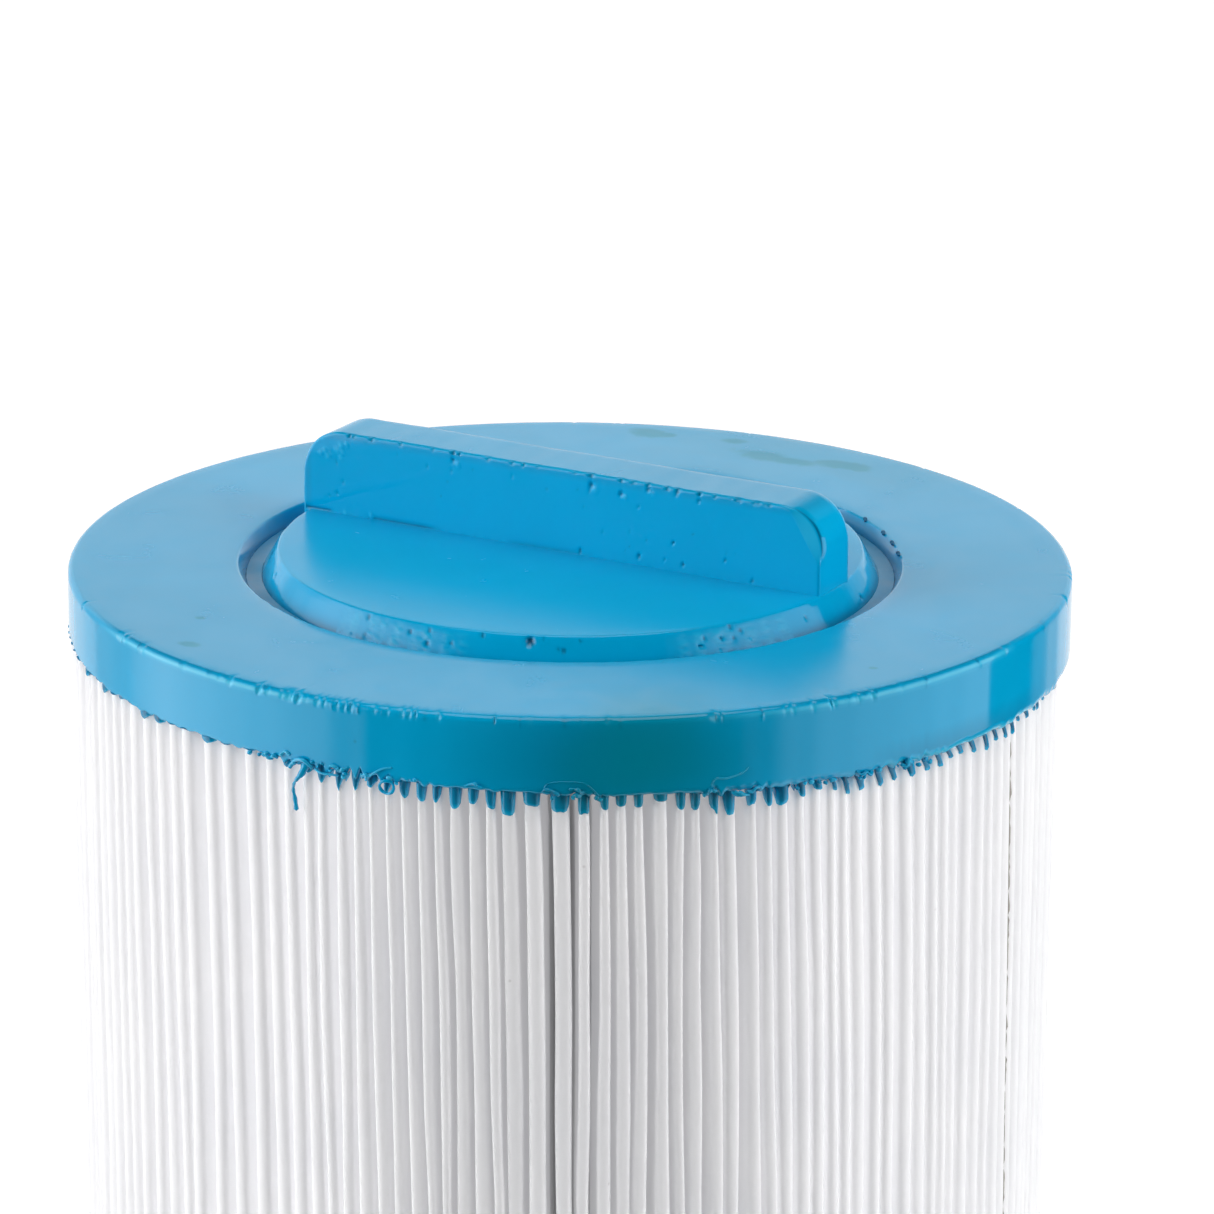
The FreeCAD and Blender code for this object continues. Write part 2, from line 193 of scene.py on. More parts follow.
def end_fans(first_hub, last_hub, rows, columns):
    """Triangles that close the first and last row of a grid round two hub vertices."""
    last = (rows - 1) * columns
    faces = []
    for j in range(columns):
        after = (j + 1) % columns
        faces.append([first_hub, after, j])
        faces.append([last_hub, last + j, last + after])
    return faces


def make_object(name, verts, faces, material, sharp=None, tone=None, weld=False):
    """Smooth-shaded mesh with its faces turned outward; sharp is an edge angle in degrees."""
    mesh = bpy.data.meshes.new(name)
    mesh.from_pydata((np.asarray(verts) * MM).tolist(), [], faces)
    if tone is not None:
        attribute = mesh.attributes.new("tone", "FLOAT", "POINT")
        attribute.data.foreach_set("value", np.asarray(tone, dtype=np.float32))
    mesh.validate()
    mesh.update()
    obj = bpy.data.objects.new(name, mesh)
    bpy.context.scene.collection.objects.link(obj)
    mesh.materials.append(material)
    mesh.polygons.foreach_set("use_smooth", [True] * len(mesh.polygons))
    if sharp:
        mesh.set_sharp_from_angle(angle=math.radians(sharp))
    work = bmesh.new()
    work.from_mesh(mesh)
    if weld:
        bmesh.ops.remove_doubles(work, verts=work.verts, dist=1e-6)
    bmesh.ops.recalc_face_normals(work, faces=work.faces)
    work.to_mesh(mesh)
    work.free()
    mesh.update()
    return obj


def declare(obj, replaces=None):
    """Tell the frame what the object rides on, which CAD piece it replaces."""
    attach(obj, "root")
    if replaces:
        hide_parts(replaces)


def tube(path, radius, sides=8, flat=1.0):
    """Closed tube with a radius at each point; flat squeezes its second cross direction."""
    count = len(path)
    tangent = np.gradient(path, axis=0)
    tangent /= np.linalg.norm(tangent, axis=1)[:, None] + 1e-12
    steep = abs(tangent[0, 2]) >= 0.9
    helper = np.array([1.0, 0.1, 0.0] if steep else [0.3, 0.2, 1.0])
    side = np.cross(tangent[0], helper)
    side /= np.linalg.norm(side)
    verts = []
    for i in range(count):
        side = side - tangent[i] * (side @ tangent[i])
        side /= np.linalg.norm(side) + 1e-12
        other = np.cross(tangent[i], side)
        for j in range(sides):
            turn = FULL_TURN * j / sides
            spoke = math.cos(turn) * side + flat * math.sin(turn) * other
            verts.append(path[i] + radius[i] * spoke)
    verts.append(path[0] - tangent[0] * radius[0] * 0.6)
    verts.append(path[-1] + tangent[-1] * radius[-1] * 0.6)
    faces = grid_faces(count, sides).tolist()
    faces += end_fans(count * sides, count * sides + 1, count, sides)
    return np.array(verts), faces


# ------------------------------------------------------------------ shader trees
class Tree:
    """A node tree with short ways to add nodes; values may be numbers, tuples or sockets."""

    def __init__(self, nodes_of):
        nodes_of.use_nodes = True
        self.tree = nodes_of.node_tree
        self.surface = self.tree.nodes.get("Principled BSDF")

    def feed(self, made, inputs):
        for key, value in inputs.items():
            socket = made.inputs[key]
            if isinstance(value, bpy.types.NodeSocket):
                self.tree.links.new(value, socket)
            elif isinstance(value, tuple) and socket.type == "RGBA":
                socket.default_value = (*value, 1.0)
            else:
                socket.default_value = value

    def node(self, kind, inputs=None, **settings):
        made = self.tree.nodes.new(kind)
        for name, value in settings.items():
            setattr(made, name, value)
        self.feed(made, inputs or {})
        return made

    def position(self):
        """Object coordinates, in metres."""
        return self.node("ShaderNodeTexCoord").outputs["Object"]

    def noise(self, vector, scale, detail=3.0, rough=0.55, distortion=0.0):
        inputs = {"Vector": vector, "Scale": scale, "Detail": detail,
                  "Roughness": rough, "Distortion": distortion}
        return self.node("ShaderNodeTexNoise", inputs).outputs["Fac"]

    def remap(self, value, span, to=(0.0, 1.0), smooth=False):
        inputs = {"Value": value, "From Min": span[0], "From Max": span[1],
                  "To Min": to[0], "To Max": to[1]}
        interpolation = "SMOOTHSTEP" if smooth else "LINEAR"
        made = self.node("ShaderNodeMapRange", inputs, clamp=True,
                         interpolation_type=interpolation)
        return made.outputs["Result"]

    def calc(self, operation, *values):
        inputs = dict(enumerate(values))
        return self.node("ShaderNodeMath", inputs, operation=operation).outputs[0]

    def times(self, first, second):
        return self.calc("MULTIPLY", first, second)

    def weighted(self, x, x_share, y, y_share):
        return self.calc("ADD", self.times(x, x_share), self.times(y, y_share))

    def vector_calc(self, operation, *values):
        inputs = dict(enumerate(values))
        return self.node("ShaderNodeVectorMath", inputs, operation=operation).outputs

    def split(self, vector):
        return self.node("ShaderNodeSeparateXYZ", {0: vector}).outputs

    def stretch(self, vector, scale):
        inputs = {"Vector": vector, "Scale": scale}
        return self.node("ShaderNodeMapping", inputs).outputs["Vector"]

    def mix(self, factor, first, second, kind="RGBA"):
        made = self.node("ShaderNodeMix", data_type=kind)
        places = [i for i, socket in enumerate(made.inputs) if socket.enabled]
        self.feed(made, dict(zip(places, (factor, first, second))))
        return next(socket for socket in made.outputs if socket.enabled)

    def tint(self, colour, mask, share, towards):
        """Move a colour towards another where the mask is 1, at most by the share."""
        return self.mix(self.times(mask, share), colour, towards)

    def bumps(self, *layers):
        """Bumps laid over one another: (height, strength, distance in metres)."""
        normal = None
        for height, strength, distance in layers:
            inputs = {"Height": height, "Strength": strength, "Distance": distance}
            if normal is not None:
                inputs["Normal"] = normal
            normal = self.node("ShaderNodeBump", inputs).outputs["Normal"]
        return normal

    def specks(self, position, scale, fade, channel, share):
        """Round specks in a share of the cells, fading out over a span of distances."""
        inputs = {"Vector": position, "Scale": scale}
        cells = self.node("ShaderNodeTexVoronoi", inputs).outputs
        chance = self.node("ShaderNodeSeparateColor", {"Color": cells["Color"]}).outputs
        dot = self.remap(cells["Distance"], span=fade, to=(1.0, 0.0))
        return self.times(dot, self.calc("LESS_THAN", chance[channel], share))

    def spot(self, position, centre, radius, stretch, wobble=None, soft=0.45):
        """1 inside an oval, 0 outside, ragged by wobble; centre and radius in mm."""
        inputs = {
            "Vector": position,
            "Location": tuple(value * MM for value in centre),
            "Scale": tuple(value * radius * MM for value in stretch),
        }
        local = self.node("ShaderNodeMapping", inputs, vector_type="TEXTURE")
        distance = self.vector_calc("LENGTH", local.outputs["Vector"])["Value"]
        if wobble is not None:
            swing = self.times(self.calc("SUBTRACT", wobble, 0.5), 1.6)
            distance = self.calc("ADD", distance, swing)
        return self.remap(distance, span=(soft, 1.0), to=(1.0, 0.0), smooth=True)

    def finish_mixed(self, factor, first, second):
        """Send a mix of two shaders to the material's output."""
        made = self.node("ShaderNodeMixShader", {0: factor, 1: first, 2: second})
        self.feed(self.tree.nodes["Material Output"], {"Surface": made.outputs[0]})


def new_material(name):
    material = bpy.data.materials.new(name)
    return material, Tree(material)


WHITE = (1.0, 1.0, 1.0)

# ------------------------------------------------------------------ cast polyurethane
RESIN_BLUE = (0.0, 0.370, 0.665)
# the next two are painted light: shade in hollows and under overhangs, a highlight on rims and
# edges
PAINTED_SHADE_BLUE = (0.0, 0.055, 0.135)
PAINTED_HIGHLIGHT_BLUE = (0.055, 0.56, 0.80)
SMUDGE_COLOUR = (0.0, 0.27, 0.36)
# painted shade on the wall's front, which faces the dim side of the room
FRONT_SHADE_BLUE = (0.0, 0.165, 0.270)
DULL_GREEN = (0.0, 0.205, 0.215)
HAZE_COLOUR = (0.02, 0.27, 0.36)
SPECK_COLOUR = (0.0, 0.14, 0.19)
CLEAN_BLUE = (0.0, 0.50, 0.88)

# smudges on the top face: x, y, radius (mm), stretch along x and y
SMUDGES = (
    (-22.6, 66.5, 2.3, 1.5, 1.0), (-19.6, 67.0, 1.5, 1.0, 1.0), (-8.5, 69.4, 1.7, 1.4, 0.9),
    (-1.0, 64.8, 3.4, 1.5, 0.8), (4.5, 64.0, 2.4, 1.5, 0.8), (13.3, 65.9, 3.0, 1.6, 0.7),
    (-27.1, -64.7, 1.1, 1.4, 1.0), (-32.3, -53.5, 0.6, 1.3, 1.0),
    (63.5, -24.2, 0.6, 1.3, 1.0),
)


def polyurethane():
    """Glossy resin: cloudy blue, specks, a barely wavy skin, level faces that blur reflections."""
    material, tree = new_material("cast_polyurethane")
    position = tree.position()
    cloud = tree.noise(position, scale=22.0, rough=0.5, distortion=0.4)
    swirl = tree.noise(position, scale=110.0, detail=4.0, rough=0.6, distortion=0.8)
    mottle = tree.noise(position, scale=420.0, detail=4.0, rough=0.6, distortion=0.6)
    grain = tree.noise(position, scale=1400.0, detail=2.0, rough=0.5)

    def shade(factor):
        return tuple(value * factor for value in RESIN_BLUE)

    colour = tree.mix(tree.remap(cloud, span=(0.3, 0.7)), shade(0.93), shade(1.06))
    veins = tree.remap(swirl, span=(0.56, 0.80), to=(0.0, 0.25))
    colour = tree.mix(veins, colour, shade(1.12))
    # set in the mesh: above 0 painted shade, as in a deep hollow; below 0 a painted highlight, as
    # on a thin rim
    tone = tree.node("ShaderNodeAttribute", attribute_name="tone").outputs["Fac"]
    painted_shade = tree.remap(tone, span=(0.0, 1.0), to=(0.0, 0.88))
    painted_highlight = tree.remap(tone, span=(-1.0, 0.0), to=(0.75, 0.0))
    colour = tree.mix(painted_shade, colour, PAINTED_SHADE_BLUE)
    colour = tree.mix(painted_highlight, colour, PAINTED_HIGHLIGHT_BLUE)
    # weathering: smudges on the top face and a dull greenish patch low on the front; besides,
    # painted shade darkens the upright faces towards the camera
    smudges = None
    for x, y, radius, wide, long in SMUDGES:
        one = tree.spot(position, (x, y, TOP), radius * 1.3, (wide, long, 3.0),
                        wobble=swirl if radius > 1 else mottle)
        smudges = one if smudges is None else tree.calc("MAXIMUM", smudges, one)
    colour = tree.tint(colour, smudges, 0.60, SMUDGE_COLOUR)
    normal = tree.node("ShaderNodeNewGeometry").outputs["Normal"]
    steepness = tree.calc("ABSOLUTE", tree.split(normal)[2])
    level = tree.remap(steepness, span=(0.90, 0.985), smooth=True)
    upright = tree.calc("SUBTRACT", 1.0, level)
    # painted shade: the upright faces towards the camera are darker, as they face the dim front of
    # the room
    front_shade = tree.spot(position, (43.6, -62.3, 196.5), radius=33.0, stretch=(1.0, 1.0, 0.55),
                     soft=0.15)
    colour = tree.tint(colour, tree.times(front_shade, upright), 0.70, FRONT_SHADE_BLUE)
    green = tree.spot(position, (45.6, -60.8, 197.0), radius=17.0, stretch=(1.0, 1.0, 0.9),
                      wobble=cloud, soft=0.2)
    colour = tree.tint(colour, green, 0.42, DULL_GREEN)
    haze = tree.spot(position, (6.0, 66.0, TOP), radius=40.0, stretch=(1.3, 0.6, 3.0),
                     wobble=cloud, soft=0.1)
    colour = tree.tint(colour, haze, 0.22, HAZE_COLOUR)
    specks = tree.specks(position, scale=260.0, fade=(0.05, 0.12), channel="Red", share=0.035)
    colour = tree.tint(colour, tree.times(specks, upright), 0.55, SPECK_COLOUR)
    # the plug's disc and the bar's faces are a cleaner blue than the ring and mirror less
    x, y, z = tree.split(position)
    from_axis = tree.calc("SQRT", tree.weighted(x, x, y, y), 0.0)
    plug = tree.times(
        tree.remap(from_axis, span=(43.8 * MM, 44.6 * MM), to=(1.0, 0.0)),
        tree.remap(z, span=((TOP + 13.4) * MM, (TOP + 14.2) * MM), to=(1.0, 0.0)),
    )
    # smudges and the tone's painted shade keep their colour
    smudge_and_shade = tree.calc("MAXIMUM", smudges, tree.calc("MAXIMUM", tone, 0.0))
    clean = tree.times(plug, tree.calc("SUBTRACT", 1.0, smudge_and_shade))
    colour = tree.tint(colour, clean, 0.30, CLEAN_BLUE)
    rough = tree.mix(
        level,
        tree.remap(swirl, span=(0.35, 0.75), to=(0.05, 0.12)),
        tree.remap(swirl, span=(0.35, 0.75), to=(0.21, 0.29)),
        kind="FLOAT",
    )
    mirror = tree.times(
        tree.remap(smudges, span=(0.0, 1.0), to=(0.5, 0.26)),
        tree.remap(plug, span=(0.0, 1.0), to=(1.0, 0.5)),
    )
    wavy = tree.bumps((cloud, 0.08, 0.0006), (swirl, 0.14, 0.00012),
                      (mottle, 0.10, 0.00004), (grain, 0.04, 0.00002))
    tree.feed(tree.surface, {
        "Base Color": colour,
        "Roughness": tree.calc("ADD", rough, tree.times(painted_shade, 0.25)),
        "Specular IOR Level": mirror,
        "IOR": 1.50,
        # level faces only keep a trace of the waviness
        "Normal": tree.mix(tree.times(level, 0.92), wavy, normal, kind="VECTOR"),
    })
    return material


# ------------------------------------------------------------------ cloth and plastics
CLOTH_FILL = (0.255, 0.124)  # light added to indirect rays: at the sides, at the front
CLOTH_SHADOW = (0.930, 0.930, 0.945)
CLOTH_WHITE = (0.955, 0.953, 0.962)
FIBRE_WHITE = (0.975, 0.975, 0.98)
CLOTH_SPECK = (0.45, 0.43, 0.40)


def cloth_material():
    """White spun-bonded polyester: short matted fibres, faint clouding, a few grey specks."""
    material, tree = new_material("polyester_cloth")
    material.cycles.emission_sampling = "NONE"
    position = tree.position()
    upward = tree.stretch(position, scale=(1.0, 1.0, 0.22))
    fibre = tree.noise(upward, scale=2600.0, rough=0.6, distortion=0.5)
    matting = tree.noise(position, scale=900.0, detail=4.0, rough=0.65, distortion=1.2)
    cloud = tree.noise(position, scale=55.0, rough=0.5)
    colour = tree.mix(tree.remap(cloud, span=(0.3, 0.7)), CLOTH_SHADOW, CLOTH_WHITE)
    matted = tree.remap(matting, span=(0.30, 0.75), to=(0.0, 0.35))
    colour = tree.mix(matted, colour, FIBRE_WHITE)
    specks = tree.specks(position, scale=420.0, fade=(0.04, 0.13), channel="Green",
                         share=0.012)
    colour = tree.tint(colour, specks, 0.30, CLOTH_SPECK)
    normal = tree.bumps((matting, 0.35, 0.00012), (fibre, 0.30, 0.00005),
                        (cloud, 0.20, 0.0005))
    # folds light one another deeper than a few bounces carry: indirect rays find them lit
    flat = tree.vector_calc("MULTIPLY", position, (1.0, 1.0, 0.0))[0]
    outward = tree.vector_calc("NORMALIZE", flat)[0]
    front = front_angle(0.5)
    facing = tree.vector_calc("DOT_PRODUCT", outward, (math.cos(front), math.sin(front), 0.0))
    fill = tree.remap(facing["Value"], span=(0.86, 0.99), to=CLOTH_FILL, smooth=True)
    diffuse_ray = tree.node("ShaderNodeLightPath").outputs["Is Diffuse Ray"]
    tree.feed(tree.surface, {
        "Base Color": colour,
        "Roughness": 0.88,
        "Sheen Weight": 0.25,
        "Sheen Roughness": 0.5,
        "Specular IOR Level": 0.25,
        "Normal": normal,
        "Emission Strength": tree.times(diffuse_ray, fill),
        "Emission Color": WHITE,
    })
    # thin cloth: part of the light goes through the sheet
    through = tree.node("ShaderNodeBsdfTranslucent", {"Color": colour, "Normal": normal})
    tree.finish_mixed(0.24, tree.surface.outputs[0], through.outputs[0])
    return material


def moulded_plastic(name, light, dark, rough=0.42, film=None):
    """Cloudy plastic with fine level streaks and, if film is a colour, resin at its top."""
    material, tree = new_material(name)
    position = tree.position()
    cloud = tree.noise(position, scale=60.0, detail=4.0, rough=0.6, distortion=0.3)
    grain = tree.noise(position, scale=1800.0, detail=2.0, rough=0.5)
    squeezed = tree.stretch(position, scale=(1.0, 1.0, 14.0))
    streak = tree.noise(squeezed, scale=120.0, rough=0.6)
    colour = tree.mix(tree.remap(cloud, span=(0.3, 0.72)), dark, light)
    if film:
        height = tree.split(position)[2]
        over = tree.remap(height, span=((TOP - 6.0) * MM, (TOP - 4.0) * MM))
        blotch = tree.noise(position, scale=160.0, detail=4.0, rough=0.6, distortion=0.8)
        patchy = tree.remap(blotch, span=(0.35, 0.70), to=(0.98, 0.80))
        colour = tree.tint(colour, over, patchy, film)
    tree.feed(tree.surface, {
        "Base Color": colour,
        "Roughness": tree.remap(streak, span=(0.3, 0.7), to=(rough - 0.08, rough + 0.10)),
        "Normal": tree.bumps((grain, 0.12, 0.00004), (streak, 0.25, 0.00005)),
    })
    return material


RESIN = polyurethane()
CLOTH = cloth_material()
CORE = moulded_plastic("core_plastic", light=(0.42, 0.44, 0.48), dark=(0.33, 0.35, 0.39),
                       film=(0.03, 0.37, 0.64))
ADAPTOR = moulded_plastic("adaptor_plastic", light=(0.84, 0.85, 0.85),
                          dark=(0.76, 0.77, 0.78), rough=0.36)
GLUE = moulded_plastic("seam_adhesive", light=(0.50, 0.47, 0.42), dark=(0.30, 0.28, 0.25),
                       rough=0.55)

# ------------------------------------------------------------------ pleated cloth
# the folds stand wider apart towards the camera: degrees from the front, pitch (mm)
PITCH = (
    (-180, 2.80), (-62, 2.80), (-50, 3.50), (-41, 4.15), (-32, 2.80), (-25, 2.55),
    (-10, 2.55), (0, 3.30), (9, 2.80), (18, 2.70), (28, 2.42), (39, 2.85), (60, 2.80),
    (180, 2.80),
)
LEAN = math.radians(0.8 / 50.0)  # turn of the folds for each mm down
LEAST_STEP = math.radians(1.30)  # closest two folds may stand


def next_fold(angle):
    """For each fold the angle of the one after it."""
    following = np.roll(angle, -1, axis=0)
    following[-1] += FULL_TURN
    return following


def lay_folds():
    """Angle, half width and tip radius of every fold at every level, about the pack's axis."""
    rng = np.random.default_rng(20831)
    spacing = np.clip(np.exp(rng.normal(0, 0.15, PLEATS)), 0.72, 1.38)
    spacing /= np.convolve(np.pad(spacing, 5, mode="wrap"), np.ones(11) / 11, "valid")
    even = FULL_TURN * np.arange(1, PLEATS + 1) / PLEATS
    spacing *= np.interp(degrees_from_front(even), *zip(*PITCH))
    spacing *= FULL_TURN / spacing.sum()
    base_angle = np.cumsum(spacing)
    angle = base_angle[:, None] + LEAN * (TOP - 10.0 - HEIGHTS)[None, :]
    angle = angle + np.radians(0.34) * pleat_field(7.0, 15.0, seed=11)
    angle = angle + np.radians(0.26) * pleat_field(1.6, 8.0, seed=12)
    angle = angle + np.radians(0.10) * pleat_field(1.0, 3.5, seed=13)

    # open width between neighbours; the resin holds the folds tighter at the caps
    from_cap = np.minimum(TOP - 12.0 - HEIGHTS, HEIGHTS - 12.0)
    pinch = 0.62 * np.exp(-np.clip(from_cap, 0, None) / 13.0)
    gap = np.clip(rng.normal(0.74, 0.20, PLEATS), 0.40, 1.30)[:, None] + pinch[None]
    gap = gap * (1.0 + 0.22 * pleat_field(1.0, 7.0, seed=14))
    front = degrees_from_front(base_angle)
    gap[np.argsort(np.abs(front - 3.4))[:2]] += 0.40  # one valley near the front stands open
    gap = gap * (1.0 - 0.42 * plateau(front, 20, 40, 95, 120))[:, None]

    # neighbours push each other apart where they would touch
    for _ in range(30):
        push = np.clip(LEAST_STEP - (next_fold(angle) - angle), 0, None) * 0.5
        angle = angle - push + np.roll(push, 1, axis=0)
    right_room = (next_fold(angle) - angle) * TIP_RADIUS
    left_room = np.roll(right_room, 1, axis=0)
    half_width = np.clip(0.5 * (0.5 * (left_room + right_room) - gap), 0.58, 1.22)
    half_width = np.minimum(half_width, 0.5 * (np.minimum(left_room, right_room) - 0.22))
    half_width = half_width * (1.0 + 0.05 * pleat_field(1.0, 4.0, seed=15))
    tip = TIP_RADIUS + np.clip(rng.normal(-0.14, 0.16, PLEATS), -0.55, 0.12)[:, None]
    tip = np.minimum(tip + 0.10 * pleat_field(1.0, 6.0, seed=16), 75.08)
    return angle, half_width, tip


FOLD_ANGLE, FOLD_HALF_WIDTH, FOLD_TIP = lay_folds()


def build_pleats():
    angle, width, tip = FOLD_ANGLE, FOLD_HALF_WIDTH, FOLD_TIP
    valley = 0.5 * (angle + next_fold(angle))
    previous_valley = np.roll(valley, 1, axis=0)
    previous_valley[0] -= FULL_TURN
    root = ROOT_RADIUS + 0.25 * pleat_field(1.0, 8.0, seed=18)
    left_root = (previous_valley - angle) * (ROOT_RADIUS + 1.0) + 0.24
    right_root = (valley - angle) * (ROOT_RADIUS + 1.0) - 0.24
    belly = 1.0 + 0.10 * pleat_field(1.0, 7.0, seed=19)
    crown = 0.22 * pleat_field(1.2, 9.0, seed=17) * width * 0.5  # the crown's shift sideways
    inner_width = np.clip(width - 0.46, 0.06, None)

    def at(theta, radius):
        x = PACK[0] + radius * np.cos(theta)
        y = PACK[1] + radius * np.sin(theta)
        return np.stack([x, y, np.broadcast_to(HEIGHTS[None], x.shape)], -1)

    def beside(offset, radius):
        return at(angle + offset / radius, radius)

    # outer face of the cloth, from the valley on the left over the tip to the right
    outer = [
        at(previous_valley, root),
        beside(left_root, root + 0.9),
        beside((-width * 0.84 * belly) * 0.55 + left_root * 0.45, root + 12.5),
        beside(-width * 0.95 * belly, tip - 5.0),
        beside(-width, tip - 1.05),
        beside(-width * 0.84, tip - 0.38),
        beside(-width * 0.40 + crown, tip - 0.05),
        beside(width * 0.30 + crown, tip),
        beside(width * 0.80, tip - 0.34),
        beside(width, tip - 1.0),
        beside(width * 0.94 * belly, tip - 5.4),
        beside((width * 0.84 * belly) * 0.55 + right_root * 0.45, root + 12.5),
        beside(right_root, root + 0.9),
    ]
    # inner face, coarser
    inner = [
        at(previous_valley, root - 0.48),
        beside(-inner_width, tip - 1.2),
        beside(inner_width, tip - 1.2),
    ]

    def rings(stations):
        points = np.stack(stations, 1).reshape(-1, LEVELS, 3)
        return points.transpose(1, 0, 2).reshape(-1, 3)

    outer_count, inner_count = PLEATS * len(outer), PLEATS * len(inner)
    inner_start = LEVELS * outer_count
    inner_faces = grid_faces(LEVELS, inner_count)[:, ::-1] + inner_start
    faces = grid_faces(LEVELS, outer_count).tolist() + inner_faces.tolist()
    # both ends of the cloth: the inner point that each outer point of a pleat is joined to
    partners = (0, 0, 1, 1, 1, 1, 1, 2, 2, 2, 2, 2, 2, 3)
    for row in (0, LEVELS - 1):
        outer_row, inner_row = row * outer_count, inner_start + row * inner_count
        for k in range(PLEATS):
            for i in range(len(outer)):
                here = k * len(outer) + i
                partner = k * len(inner) + partners[i]
                next_partner = (k * len(inner) + partners[i + 1]) % inner_count
                face = [outer_row + here, outer_row + (here + 1) % outer_count,
                        inner_row + next_partner]
                if next_partner != partner:
                    face.append(inner_row + partner)
                faces.append(face if row == 0 else face[::-1])
    return make_object("pleated_cloth", np.concatenate([rings(outer), rings(inner)]), faces,
                       CLOTH)


declare(build_pleats(), replaces="pleated_media")

# ------------------------------------------------------------------ cast end caps
# columns across a fold's tip, in half widths of the resin on it
TIP_COLUMNS = (-1.12, -0.96, -0.72, -0.38, 0.0, 0.38, 0.72, 0.96, 1.12)
VALLEY = 9.0  # stands for "in a valley" where a place across a tip is asked for
FLANK = 2.0  # stands for "on a fold's flank", negative on the left

# ragged stretches of the upper skirt's edge: size, then degrees: rise, full, fall, end
ROUGH_STRETCHES = (
    (1.0, -35, -31, -17, -12), (0.7, -3, -1, 3, 6), (0.7, 13, 15, 21, 24),
    (0.5, 30, 33, 44, 47),
)
# nicks of the caps' edges: from and to in degrees from the front, how many
UPPER_NICKS = ((-36, -14, 34), (-12, 8, 9), (8, 34, 16), (-60, -36, 8), (34, 60, 7),
               (60, 324, 22))
LOWER_NICKS = ((-180, 180, 60),)

# rounding of the flat face into the wall:
# degrees round the edge, share of the nicks, tone of the painted highlight where the edge shines,
# extra depth (mm)
FACE_EDGE = (
    (0.0, 0.15, 0.0, 0.0), (20.0, 0.5, 0.35, 0.0), (42.0, 1.0, 0.15, 0.0),
    (64.0, 1.0, -0.95, 0.0), (80.0, 0.8, -0.85, 0.0), (90.0, 0.5, -0.30, 0.12),
)
# rounding of the wall into the skirt's edge:
# degrees, size of lumps (mm), tone on the lip, tone elsewhere; the tones paint a pale highlight,
# strongest on the lip
SKIRT_EDGE = ((0, 0.0, 0.10, 0.0), (30, 0.0, -1.0, -0.12), (58, 0.14, -1.0, 0.0),
              (80, 0.14, -1.0, 0.0))
# recess and flat face of the lower cap, from the bore out: radius, height
LOWER_FACE = (
    (24.0, 11.5), (24.0, 7.0), (44.0, 7.0), (44.0, 4.0), (27.0, 4.0), (27.0, 0.25),
    (27.25, 0.0), (30.0, 0.0), (44.0, 0.0), (60.0, 0.0), (73.2, 0.0),
)


def folds_at(height, seed, reach):
    """Folds in order round a cap: tip angle, half width, radius from the axis, tab length."""
    level = int(np.argmin(np.abs(HEIGHTS - height)))
    angle, tip = FOLD_ANGLE[:, level], FOLD_TIP[:, level]
    x = PACK[0] + tip * np.cos(angle)
    y = PACK[1] + tip * np.sin(angle)
    rng = np.random.default_rng(seed)
    length = np.clip(rng.normal(reach, reach * 0.24, PLEATS), reach * 0.40, reach * 1.45)
    tip_angle = np.arctan2(y, x) % FULL_TURN
    order = np.argsort(tip_angle)
    width = FOLD_HALF_WIDTH[:, level]
    return tip_angle[order], width[order], np.hypot(x, y)[order], length


def cap_columns(tip_angle, tip_width):
    """Column angles lined up with the folds, the fold each is on and its place across it."""
    left = 0.5 * (tip_angle + np.roll(tip_angle, 1))
    left[0] = 0.5 * (tip_angle[0] + tip_angle[-1] - FULL_TURN)
    right = np.roll(left, -1)
    right[-1] += FULL_TURN
    columns = []
    for k in range(PLEATS):
        tip = tip_angle[k]
        half = min(
            tip_width[k] * 1.26 / TAB_CIRCLE,
            0.43 * (right[k] - left[k]),
            0.9 * (tip - left[k]),
            0.9 * (right[k] - tip),
        ) / 1.12
        start, end = tip - 1.12 * half, tip + 1.12 * half
        for share, across in ((0.0, VALLEY), (0.33, VALLEY), (0.67, -FLANK)):
            columns.append((left[k] + (start - left[k]) * share, k, across))
        for across in TIP_COLUMNS:
            columns.append((tip + across * half, k, across))
        for share, across in ((0.33, FLANK), (0.67, VALLEY)):
            columns.append((end + (right[k] - end) * share, k, across))
    theta, fold, across = zip(*columns)
    return np.array(theta), np.array(fold), np.array(across)


def spikes(degrees, zones, size, seed):
    """Sparse sharp nicks along an edge, about 0.2 degrees wide."""
    rng = np.random.default_rng(seed)
    total = np.zeros_like(degrees)
    for start, end, count in zones:
        for _ in range(count):
            centre = rng.uniform(start, end)
            width = rng.uniform(0.5, 1.5) * 0.20
            height = rng.uniform(0.35, 1.0) * size * rng.choice([-1, 1, 1])
            distance = (degrees - centre + 180.0) % 360.0 - 180.0
            total += height * np.exp(-((distance / width) ** 2))
    return total


